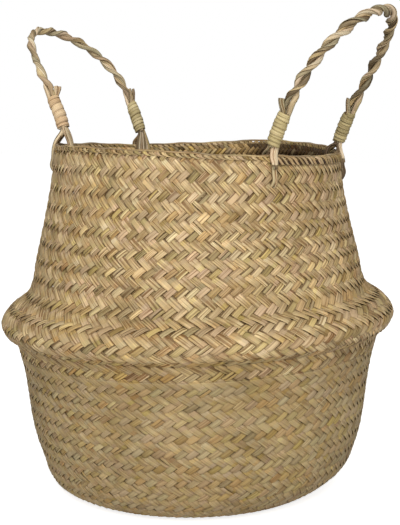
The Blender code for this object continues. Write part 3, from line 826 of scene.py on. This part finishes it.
class StageSettings(bpy.types.PropertyGroup):
    """Floor, lights and camera."""

    key_power: bpy.props.FloatProperty(
        name="Key light", description="Power of the large soft light above the front",
        default=33.5, min=0, max=500, unit="POWER")
    fill_power: bpy.props.FloatProperty(
        name="Fill light", description="Power of the low soft light in front",
        default=5.0, min=0, max=500, unit="POWER")
    surround: bpy.props.FloatProperty(
        name="Surround", description="Brightness of the white room", default=0.35, min=0, max=3)
    floor_colour: bpy.props.FloatVectorProperty(
        name="Floor colour", description="Colour of the plain floor", subtype="COLOR",
        default=(0.86, 0.86, 0.85), min=0, max=1)
    floor_glow: bpy.props.FloatProperty(
        name="Floor glow", description="Light that only the camera sees, to clear the floor's tone",
        default=0.78, min=0, max=3)


class BASKET_OT_weave_base(bpy.types.Operator):
    """Weave the flat bottom."""

    bl_idname = "basket.weave_base"
    bl_label = "Weave bottom"

    def execute(self, context):
        mesh = joined("base_mat", woven_base("base_mat", context.scene.basket_weave))
        piece = add_piece("base_mat", mesh, grass_material("base_weave", "lower"),
                          "lower_body")
        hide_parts("base_disc")
        return {"FINISHED"}


class BASKET_OT_weave_lower(bpy.types.Operator):
    """Weave the lower wall, from the bottom's edge to the fold."""

    bl_idname = "basket.weave_lower"
    bl_label = "Weave lower wall"

    def execute(self, context):
        for mesh in woven_wall("lower_weave", context.scene.basket_weave, 0, LOWER_TOP_KEY):
            # The lower wall's darker palette is painted shade below the belly.
            material = grass_material("lower_weave", "lower", fibre_contrast=0.45, hidden_shade=0.4)
            piece = add_piece(mesh.name, mesh, material, "lower_body")
            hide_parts("lower_wall")
        return {"FINISHED"}


class BASKET_OT_weave_fold(bpy.types.Operator):
    """Weave the belly fold; on the real basket it gives way as the upper half is pushed down."""

    bl_idname = "basket.weave_fold"
    bl_label = "Weave belly fold"

    def execute(self, context):
        weave = context.scene.basket_weave
        mesh = joined("fold_weave", woven_wall("fold_weave", weave, LOWER_TOP_KEY, FOLD_TOP_KEY))
        piece = add_piece("fold_weave", mesh, grass_material("fold_weave", "fold", hidden_shade=0.6))
        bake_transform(piece)
        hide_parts("belly_fold")
        return {"FINISHED"}


class BASKET_OT_weave_upper(bpy.types.Operator):
    """Weave the upper wall, from the belly to the rim."""

    bl_idname = "basket.weave_upper"
    bl_label = "Weave upper wall"

    def execute(self, context):
        last_key = len(outline_keys()) - 1
        weave = context.scene.basket_weave
        for mesh in woven_wall("upper_weave", weave, FOLD_TOP_KEY, last_key):
            piece = add_piece(mesh.name, mesh, grass_material("upper_weave", "upper"),
                              "upper_body")
            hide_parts("upper_wall")
        return {"FINISHED"}


class BASKET_OT_plait_rim(bpy.types.Operator):
    """Fold the strips over the rim, with a thin rolled edge, and lay the plaited border inside."""

    bl_idname = "basket.plait_rim"
    bl_label = "Plait rim"

    count = 144
    slant = 0.5
    open_middle = radians(-9)
    shaded_middle = radians(48)
    flat_share = 0.35
    edge_thickness = 0.0006
    folded_drop = 0.0014
    opened_drop = 0.0031
    opened_reach = 0.0019
    border_strips = 150
    border_rows = 5
    border_low = 0.3115
    border_high = 0.3254
    border_radius = 0.1297
    border_bulge = 0.0022

    def execute(self, context):
        random = np.random.default_rng(71)
        rows = (("rim_fold", self.over_edge(random), "upper"), ("rim_fold_shadow", self.fold_shadow(), "dark"),
                ("rim_cord", self.cord(), "cord"), ("rim_border_plait", self.border(random), "inner"))
        for name, mesh, colours in rows:
            piece = add_piece(name, mesh, grass_material(name, colours), "upper_body")
            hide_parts("rim_border")
        return {"FINISHED"}

    def shade(self, turn):
        """Share of painted shade inside the rim at an angle round it."""
        return smoothstep((np.cos(turn - self.shaded_middle) - 0.6) / 0.3)

    def over_edge(self, random):
        """Strips that come up outside, turn over the edge and go down inside."""
        spacing = 2 * pi / self.count
        number = np.arange(self.count)[:, None, None]
        opened = smoothstep((np.cos(number * spacing - self.open_middle) - 0.88) / 0.04)
        half_edge = WALL_THICKNESS / 2 + self.edge_thickness
        steps = np.linspace(0, 1, 17)
        turning = np.clip((steps - self.flat_share) / 0.3, 0, 1)
        radius = RIM_RADIUS - WALL_THICKNESS / 2 + half_edge * np.cos(turning * pi)
        below = np.maximum(self.flat_share - steps, 0) / self.flat_share
        below = below + np.maximum(steps - (1 - self.flat_share), 0) / self.flat_share
        rise = self.folded_drop + self.opened_drop * opened
        out_r, out_z = (values[None, :, None] for values in (np.cos(turning * pi), np.sin(turning * pi)))
        level = RIM_HEIGHT - 0.0012 - rise * below[None, :, None] + half_edge * out_z
        seed = random.random((self.count, 1, 1))
        width = spacing * (STRIP_HALF * (1 - 0.2 * seed) - 0.15 * opened)
        side, lift = STRIP_SIDE, STRIP_LIFT
        turn = spacing * (number - self.slant * 4 * (steps[None, :, None] - 0.5)) + width * side
        turn = turn + 0.1 * spacing * random.standard_normal((self.count, 1, 1))
        high = lift * self.edge_thickness + 0.0003 * side * np.sin(pi * steps)[None, :, None]
        reach = radius[None, :, None] + out_r * (high + self.opened_reach * opened)
        up = level + out_z * high
        points = ring_places(reach, turn, up)
        # The inner half of each strip is darkened by the painted shade inside the rim.
        shaded = self.shade(turn) * (steps > 0.5)[None, :, None]
        return ribbon_mesh("rim_fold", points, across=side, along=steps[None, :, None] * 0.02, seed=seed,
                           depth=0.6, tone=0.8 * seed - shaded)

    def fold_shadow(self):
        """Dark sheet of painted shadow inside the fold, seen between its strips where they stand apart."""
        turn = self.open_middle + radians(1) * np.arange(-24, 25)[None, :, None]
        points = ring_places(RIM_RADIUS + 0.0022 + 0.0003 * STRIP_LIFT, turn,
                             RIM_HEIGHT - 0.0036 + 0.0017 * STRIP_SIDE)
        # Depth and tone of a strip in full painted shadow.
        return ribbon_mesh("rim_fold_shadow", points, across=0.0, along=turn * 0.1, seed=0.5, depth=-2.0,
                           tone=-1.0)

    def cord(self):
        """Thin strand rolled along the edge."""
        turn = np.linspace(0, 2 * pi, 241)
        level = RIM_HEIGHT + 0.0012 + 0.0004 * np.sin(9 * turn) + 0.0003 * np.sin(23 * turn + 1)
        points = ring_places(RIM_RADIUS - WALL_THICKNESS / 2, turn, level)
        return blades_along("rim_cord", points, (0, 0, 1), 0.0010, 0.0013, 3, 73, lay=0.09, tone=0.6)

    def border(self, random):
        """Flat plait of two crossing families below the edge, inside the wall."""
        meshes = []
        count, rows = self.border_strips, self.border_rows
        number = np.arange(count)[:, None, None]
        steps = np.linspace(0, 1, 4 * rows + 1)[None, :, None]
        beside = STRIP_HALF * STRIP_SIDE
        for direction in (1, -1):
            row = steps * rows - direction * beside * np.minimum(1, 4 * np.minimum(steps, 1 - steps))
            own = number + beside
            other = own + direction * row
            height = direction * float_height((other - number) * direction)
            turn = pi * (own + other) / count
            level = self.border_low + (self.border_high - self.border_low) * row / rows
            radius = self.border_radius - self.border_bulge * np.sin(pi * row / rows)
            points = ring_places(radius - 0.0009 * height + STRIP_LIFT * 0.0008, turn, level)
            seed, shaded = random.random((count, 1, 1)), self.shade(turn)
            # Depth and tone are lowered by the painted shade inside the rim.
            meshes.append(ribbon_mesh(f"border_{direction}", points, across=STRIP_SIDE,
                                      along=steps * 0.016, seed=seed, depth=height - 0.9 * shaded,
                                      tone=seed + 0.22 - 1.2 * shaded))
        return joined("rim_border_plait", meshes)


class BASKET_OT_twist_handles(bpy.types.Operator):
    """Twist two strands of grass round each other for each handle."""

    bl_idname = "basket.twist_handles"
    bl_label = "Twist handles"

    blades = 4
    sway = 0.0007
    sway_length = 0.021
    narrowing = 0.11
    deepening = 0.30
    widening = 0.14
    crevice = 1.5
    second_strand_tone = 0.28
    back_tone = 0.2
    back_length = 0.115
    back_fade = 0.04

    def execute(self, context):
        for side, handle in enumerate(SIDES):
            line = HandleFrame(handle)
            run = np.arange(0, line.total, STRAND_STEP)
            middle = line.place(run, 0, 0)
            back = smoothstep((run - line.total + self.back_length) / self.back_fade)
            back = back if handle == "right" else 0
            for number, letter in enumerate("ab"):
                name = f"handle_{handle}_{letter}"
                beside, out, twisted = strand_offsets(handle, number, run, line.total)
                sway = self.sway * twisted * np.sin(run / self.sway_length + 2 * number + side)
                points = line.place(run, beside + sway, out)
                thin = 1 - self.narrowing * twisted
                reach = STRAND_RADIUS * (1 + self.deepening * twisted) * thin
                breadth = STRAND_RADIUS * (1 + self.widening * twisted) * thin
                tone = STRAND_TONES[handle] - self.second_strand_tone * number - self.back_tone * back
                mesh = blades_along(name, points, points - middle, reach, breadth, self.blades,
                                    101 + 2 * side + number, tone=tone, crevice=self.crevice * twisted)
                material = grass_material("handle_grass", "strand", half_width=0.002,
                                          fibre_contrast=0.45)
                piece = add_piece(name, mesh, material, f"{handle}_handle")
                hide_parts(f"strand_{handle}_{letter}")
        return {"FINISHED"}


# Ends of strands above each binding: rise over it, distance beside the leg and in from the
# handle's sheet, half breadth and tone.
STUBS = {
    ("left", "front"): ((0.0085, 0.0030, 0.0066, 0.0023, 0.85), (0.0070, 0.0050, 0.0090, 0.0021, 0.75)),
    ("left", "back"): ((0.0150, 0.0020, 0.0046, 0.0018, 0.7), (0.0140, 0.0036, 0.0076, 0.0016, 0.3)),
    ("right", "front"): ((0.0110, 0.0030, 0.0073, 0.0030, 0.0),),
    ("right", "back"): ((0.0115, 0.0030, 0.0058, 0.0023, 0.35),),
}


class BASKET_OT_fold_ends(bpy.types.Operator):
    """Lay the folded-back strand ends in the legs."""

    bl_idname = "basket.fold_ends"
    bl_label = "Fold strand ends"

    def execute(self, context):
        for number, ((handle, end), stubs) in enumerate(STUBS.items()):
            name = f"folded_{handle}_{end}"
            meshes = [self.stub(name, handle, end, *stub, 131 + 5 * number + step)
                      for step, stub in enumerate(stubs)]
            mesh = joined(name, meshes)
            piece = add_piece(name, mesh, grass_material("folded_grass", "strand", half_width=0.002),
                              f"{handle}_handle")
            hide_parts(f"folded_end_{handle}_{end}")
        return {"FINISHED"}

    def stub(self, name, handle, end, rise, beside, inward, half, tone, seed):
        """One strand end that runs up through the leg and stands out above it."""
        line = HandleFrame(handle)
        run = np.arange(0, BINDING_LENGTH + rise, STRAND_STEP)
        spread = smoothstep((run - BINDING_LENGTH + 0.004) / (rise + 0.004))
        way = FOLDED_SIDES[handle][end]
        away = way * (BUNDLE_RADIUS + (beside - BUNDLE_RADIUS) * spread)
        points = line.place(run if end == "front" else line.total - run, away, -inward * spread)
        middle = line.place(run if end == "front" else line.total - run, 0, 0)
        breadth = STRAND_RADIUS + (half - STRAND_RADIUS) * spread
        return blades_along(name, points, points - middle, 0.8 * breadth, breadth, 4, seed, tone=tone)


# Turns and colours of each binding, how much wider its middle turns are, its turns' tilt, how much
# narrower its ends are, and its tone.
BINDINGS = {
    ("left", "front"): (7, "peach", 2.6, 0.08, 0.10, 0.75),
    ("left", "back"): (9, "binding", 0.3, 0.18, 0.14, 0.6),
    ("right", "front"): (9, "binding", 0.1, 0.12, 0.12, 0.48),
    ("right", "back"): (9, "binding", 0.15, 0.14, 0.10, 0.2),
}


class BASKET_OT_wind_bindings(bpy.types.Operator):
    """Wind a flat strip round each leg."""

    bl_idname = "basket.wind_bindings"
    bl_label = "Wind bindings"

    def execute(self, context):
        for number, ((handle, end), (turns, colours, *shape)) in enumerate(BINDINGS.items()):
            name = f"wound_{handle}_{end}"
            mesh = self.winding(name, handle, end, turns, *shape, 151 + number)
            material = grass_material(f"binding_{colours}", colours, fibre_contrast=0.35, stain=0.3,
                                      hidden_shade=0.45, half_width=0.004, lit_edge=1.0)
            piece = add_piece(name, mesh, material, f"{handle}_handle")
            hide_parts(f"binding_{handle}_{end}")
        return {"FINISHED"}

    def winding(self, name, handle, end, turns, middle, tilt, waist, tone, seed):
        """One strip whose turns lie on each other like shingles, with uneven widths."""
        random = np.random.default_rng(seed)
        share = np.linspace(0, 1, turns * 26 + 1)
        waves = random.uniform(0, 2 * pi, 6)
        wobble = sum(np.sin(2 * pi * k * share + waves[k]) * 0.6 / k for k in (2, 3, 5))
        wide = 1 + middle * np.sin(pi * share) ** 2 + 0.28 * wobble
        centre = np.cumsum(wide)
        centre = centre / centre[-1]
        half = wide / wide.mean() * BINDING_LENGTH / turns * 0.56
        climb = half[0] * 0.8 + (BINDING_LENGTH - 0.8 * (half[0] + half[-1])) * centre
        angle = 2 * pi * turns * share + waves[0]
        profile, outer = flat_section(6)
        radius = BINDING_RADIUS + 0.0002 * (1 - profile**2) - 0.00035 * profile
        radius = radius + 0.00015 * np.sin(profile * 5.0 + waves[1]) - 0.0006 * (1 - outer)
        tuck = 0.35 * smoothstep((abs(share - 0.5) - 0.485) / 0.015)
        shape = 1 - tuck - waist * (2 * share - 1) ** 4 + 0.035 * np.sin(share * 33.0 + waves[2])
        reach = radius * shape[:, None]
        lean = tilt * BINDING_RADIUS * np.sin(angle + waves[3]) + 0.0003 * np.sin(angle * 0.37)
        level = climb[:, None] + half[:, None] * profile + lean[:, None]
        level = np.clip(level, 0, BINDING_LENGTH + 0.0015)
        points = leg_place(handle, end, reach * np.cos(angle)[:, None], reach * np.sin(angle)[:, None],
                           level)
        run = (angle - angle[0]) * BINDING_RADIUS
        tone = tone + 0.22 * np.sin(2 * pi * share * turns * 0.23 + waves[4])
        return ribbon_mesh(name, points[None], across=profile, along=run[None, :, None],
                           seed=random.random(), depth=2 * outer - 1, tone=tone[None, :, None])


# Strands that tie each leg through the wall: distance along the wall from the leg, outside and
# inside, distance further out, half breadth outside and inside, half depth, and tone, or its tones
# at the leg, on the wall and inside.
TIES = {
    ("left", "front"): ((-0.0010, -0.0016, -0.0012, 0.0027, 0.0038, 0.0028, (0.5, -0.2, 1.2)),
                        (0.0016, 0.0022, -0.0004, 0.0020, 0.0034, 0.0019, (1.0, 0.1, 1.7))),
    ("left", "back"): tuple((0.25 * place, place, 0, 0.0010, 0.0011, 0.0011, tone) for place, tone in (
        (-0.0066, 0.45), (-0.0044, 1.3), (-0.0022, 0.35), (0.0, 1.2), (0.0022, 0.35), (0.0044, 1.3),
        (0.0066, 0.45))),
    ("right", "front"): ((-0.0004, -0.0028, 0, 0.0022, 0.0014, 0.0011, 0.65),
                         (0.0008, 0.0006, 0.0004, 0.0014, 0.0013, 0.0010, 0.3)),
    ("right", "back"): ((-0.0016, -0.0014, -0.0006, 0.0030, 0.0032, 0.0024, -0.3),
                        (0.0030, 0.0014, 0.0012, 0.0024, 0.0028, 0.0018, 0.5)),
}
# How far each tie ends from its leg's place on the rim, outside and inside, its length's share
# and how much further in it lies.
TIE_SHIFTS = {("left", "front"): (0, 0, 0.82, 0.003), ("left", "back"): (-0.0085, -0.0078, 1, 0),
              ("right", "front"): (0, 0, 0.86, 0), ("right", "back"): (-0.005, 0, 0.86, 0)}
# Short strands that cover a tie at the rim and end in a knot: half breadth, tone and distances
# beside the tie and further out.
TIE_CAPS = {("right", "front"): (0.0034, 1.0, 0, 0.0012),
            ("right", "back"): (0.0030, 1.0, -0.003, 0.0006)}
# A tie's way round the wall: distance out of its outer face, drop below the rim, and how far it
# has gone from its outside place to its inside place.
TIE_PATH = ((0.0012, -0.0024, 0), (0.0022, 0.005, 0), (0.0020, 0.0145, 0), (0.0022, 0.0235, 0),
            (-0.0015, 0.0295, 0.5), (-0.0114, 0.0235, 1), (-0.0118, 0.0155, 1), (-0.0116, 0.006, 1),
            (-0.0108, -0.0010, 1))


class BASKET_OT_tie_loops(bpy.types.Operator):
    """Tie each leg through the wall with flat strands."""

    bl_idname = "basket.tie_loops"
    bl_label = "Tie loops"

    def execute(self, context):
        for number, ((handle, end), strands) in enumerate(TIES.items()):
            name = f"tie_{handle}_{end}"
            meshes = [self.strand(name, handle, end, strand, 171 + 11 * number + step)
                      for step, strand in enumerate(strands)]
            if (handle, end) in TIE_CAPS:
                meshes.append(self.cap(name, handle, end, *TIE_CAPS[handle, end], 217 + number))
            mesh = joined(name, meshes)
            material = grass_material("loop_grass", "strand", half_width=0.002)
            piece = add_piece(name, mesh, material)
            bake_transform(piece)
            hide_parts(f"loop_{handle}_{end}")
        return {"FINISHED"}

    def way(self, handle, end, path, outside, inside, further):
        """Key points of a tie: from inside the binding down to the rim, and on along a path."""
        angle = LEG_ANGLES[handle] * LEG_ENDS[end]
        angle = pi - angle if handle == "left" else angle
        radial, sideways = np.array((cos(angle), sin(angle), 0)), np.array((-sin(angle), cos(angle), 0))
        outline = smooth_curve(outline_keys(), OUTLINE_STEPS)
        up = FOOT_RISES[handle][end] + np.array((0.010, -0.0010))
        places, _, outward = sheet_place(handle, LEG_ENDS[end] * half_span(handle), up)
        shift_out, shift_in, length, inward = TIE_SHIFTS[handle, end]
        keys = list(places + outward * (0.0016 + further) + sideways * 0.4 * np.clip(outside, -0.007, 0.007))
        for out, drop, share in path:
            height = RIM_HEIGHT - drop * length
            radius = np.interp(height, outline[:, 1], outline[:, 0]) + out
            radius += further * (1 - share) - inward * share
            shift = shift_out * np.interp(drop, (-0.0024, 0.006), (0.5, 1))
            turn = angle + ((outside + shift) * (1 - share) + (inside + shift_in) * share) / radius
            keys.append(np.array((radius * cos(turn), radius * sin(turn), height)))
        return keys, list((places - outward * 0.0014 + sideways * 0.5 * inside)[::-1]), radial

    def strand(self, name, handle, end, strand, seed):
        """One flat strand: from the binding over the rim, through the wall and up inside."""
        outside, inside, further, half_out, half_in, depth, tone = strand
        keys, last, radial = self.way(handle, end, TIE_PATH, outside, inside, further)
        points = settled(smooth_curve(keys + last, 8))
        way = np.linspace(0, 1, len(points))
        share = np.interp(way, (0.0, 0.45, 0.6, 1.0), (0, 0, 1, 1))
        breadth = half_out + (half_in - half_out) * share
        at_leg, on_wall, within = np.broadcast_to(tone, 3)
        tone = np.interp(way, (0.05, 0.2, 0.45, 0.6), (at_leg, on_wall, on_wall, within))
        return blades_along(name, points, radial + (0, 0, 0.3), depth, breadth, 3, seed, lay=0.4,
                            tone=tone)

    def cap(self, name, handle, end, half, tone, beside, further, seed):
        """Short strand over the tie, which ends in a dark knot."""
        keys, _, radial = self.way(handle, end, TIE_PATH[:3], beside, 0, further)
        points = settled(smooth_curve(keys, 8))[6:-3]
        share = np.linspace(0, 1, len(points))
        breadth = half * (1 - 0.45 * smoothstep((share - 0.6) / 0.4))
        return blades_along(name, points, radial + (0, 0, 0.3), 0.0020, breadth, 3, seed, lay=0.5,
                            tone=tone - 1.4 * smoothstep((share - 0.82) / 0.06))


class BASKET_OT_loose_fibres(bpy.types.Operator):
    """Pale slivers that stand out between the strips."""

    bl_idname = "basket.loose_fibres"
    bl_label = "Loose fibres"

    half_angle = 0.0028

    def execute(self, context):
        weave = context.scene.basket_weave
        outline = Outline(weave)
        random = np.random.default_rng(211)
        rows = (("slivers_upper", "upper", 30, FOLD_TOP_KEY, len(outline_keys()) - 1),
                ("slivers_lower", "lower", 22, 1, LOWER_TOP_KEY))
        for name, half, count, first_key, last_key in rows:
            low, high = outline.row_of_key(first_key) + 1, outline.row_of_key(last_key) - 3
            steps = np.linspace(0, 1, 8)[None, :, None]
            side, lift = np.array((-1, 0, 1, 0.0)), np.array((0, 1, 0, -1.0))
            start, spin, length = (random.uniform(*limits, (count, 1, 1))
                                   for limits in ((low, high), (0, 2 * pi), (0.8, 2.4)))
            way = random.choice((-1, 1), (count, 1, 1))
            turn = (spin + way * length * steps * pi / weave.strips_around
                    + self.half_angle * side * (1 - 0.8 * steps))
            bow = random.uniform(0.0004, 0.0016, (count, 1, 1)) * np.sin(pi * steps * 0.7)
            points = outline.place(turn, start + length * steps, 0.0016 + bow + 0.00012 * lift)
            mesh = ribbon_mesh(name, points, across=side, along=steps * 0.01,
                               seed=random.random((count, 1, 1)), depth=1.0, tone=1.0)
            material = grass_material("sliver", "binding", hidden_shade=0.0, stain=0.0)
            add_piece(name, mesh, material, f"{half}_body")
        return {"FINISHED"}


class BASKET_OT_stage(bpy.types.Operator):
    """Set up the pale floor, the soft lights and the camera."""

    bl_idname = "basket.stage"
    bl_label = "Stage"

    azimuth = radians(30)
    distance = 1.098
    camera_height = 0.366
    aim_height = 0.2165
    sideways = 0.00255
    lens = 102.24
    sensor_width = 36
    floor_size = 12
    lamp_aim = (0, 0, 0.2)
    key_place = (0.95, -1.5, 1.5)
    key_size = 1.3
    fill_place = (0.5, -1.8, 0.45)
    fill_size = 0.8

    def execute(self, context):
        stage = context.scene.basket_stage
        self.floor(stage)
        self.lights(context, stage)
        self.camera(context)
        return {"FINISHED"}

    def floor(self, stage):
        """Large plain floor."""
        bpy.ops.mesh.primitive_plane_add(size=self.floor_size)
        floor = bpy.context.object
        floor.name = "floor"
        material = bpy.data.materials.new("floor")
        material.use_nodes = True
        shader = material.node_tree.nodes["Principled BSDF"]
        shader.inputs["Base Color"].default_value = (*stage.floor_colour, 1)
        shader.inputs["Roughness"].default_value = 0.9
        shader.inputs["Specular IOR Level"].default_value = 0.1
        n = Nodes(material.node_tree)
        shader.inputs["Emission Color"].default_value = (1, 1, 1, 1)
        seen = n.add("LightPath").outputs["Is Camera Ray"]
        n.link(n.math("MULTIPLY", seen, stage.floor_glow), shader.inputs["Emission Strength"])
        floor.data.materials.append(material)

    def lights(self, context, stage):
        """White room, a large key light above the front and a weaker low one."""
        world = bpy.data.worlds.new("room")
        world.use_nodes = True
        n = Nodes(world.node_tree)
        shader = world.node_tree.nodes["Background"]
        shader.inputs["Color"].default_value = (1, 1, 1, 1)
        seen = n.add("LightPath").outputs["Is Camera Ray"]
        lit = n.math("MULTIPLY_ADD", seen, 1 - stage.surround, stage.surround)
        n.link(lit, shader.inputs["Strength"])
        context.scene.world = world
        context.scene.view_settings.view_transform = "Standard"
        for name, place, size, power in (
                ("key", self.key_place, self.key_size, stage.key_power),
                ("fill", self.fill_place, self.fill_size, stage.fill_power)):
            light = bpy.data.lights.new(name, "AREA")
            light.size = size
            light.energy = power
            lamp = bpy.data.objects.new(name, light)
            lamp.location = place
            aim = Vector(self.lamp_aim) - Vector(place)
            lamp.rotation_euler = aim.to_track_quat("-Z", "Y").to_euler()
            context.scene.collection.objects.link(lamp)

    def camera(self, context):
        """Camera at the photograph's viewing angle."""
        data = bpy.data.cameras.new("camera")
        data.sensor_fit = "HORIZONTAL"
        data.sensor_width = self.sensor_width
        data.lens = self.lens
        camera = bpy.data.objects.new("camera", data)
        context.scene.collection.objects.link(camera)
        right = Vector((cos(self.azimuth), sin(self.azimuth), 0)) * self.sideways
        back = Vector((sin(self.azimuth), -cos(self.azimuth), 0)) * self.distance
        camera.location = back + right + Vector((0, 0, self.camera_height))
        aim = right + Vector((0, 0, self.aim_height))
        camera.rotation_euler = (aim - camera.location).to_track_quat("-Z", "Y").to_euler()
        context.scene.camera = camera


OPERATORS = (BASKET_OT_weave_base, BASKET_OT_weave_lower, BASKET_OT_weave_fold,
             BASKET_OT_weave_upper, BASKET_OT_plait_rim, BASKET_OT_twist_handles,
             BASKET_OT_fold_ends, BASKET_OT_wind_bindings, BASKET_OT_tie_loops,
             BASKET_OT_loose_fibres, BASKET_OT_stage)


class BASKET_PT_looks(bpy.types.Panel):
    """Sizes and steps of the basket's looks."""

    bl_idname = "BASKET_PT_looks"
    bl_label = "Belly basket"
    bl_space_type = "VIEW_3D"
    bl_region_type = "UI"
    bl_category = "Basket"

    def draw(self, context):
        for settings in (context.scene.basket_weave, context.scene.basket_stage):
            box = self.layout.box()
            for name in settings.__annotations__:
                box.prop(settings, name)
        for operator in OPERATORS:
            self.layout.operator(operator.bl_idname)


CLASSES = (WeaveSettings, StageSettings, *OPERATORS, BASKET_PT_looks)


def register():
    for made in CLASSES:
        bpy.utils.register_class(made)
    bpy.types.Scene.basket_weave = bpy.props.PointerProperty(type=WeaveSettings)
    bpy.types.Scene.basket_stage = bpy.props.PointerProperty(type=StageSettings)


def unregister():
    del bpy.types.Scene.basket_stage
    del bpy.types.Scene.basket_weave
    for made in reversed(CLASSES):
        bpy.utils.unregister_class(made)


def main():
    """Make every piece in turn."""
    register()
    for operator in OPERATORS:
        group, name = operator.bl_idname.split(".")
        getattr(getattr(bpy.ops, group), name)()


if __name__ == "__main__":
    main()
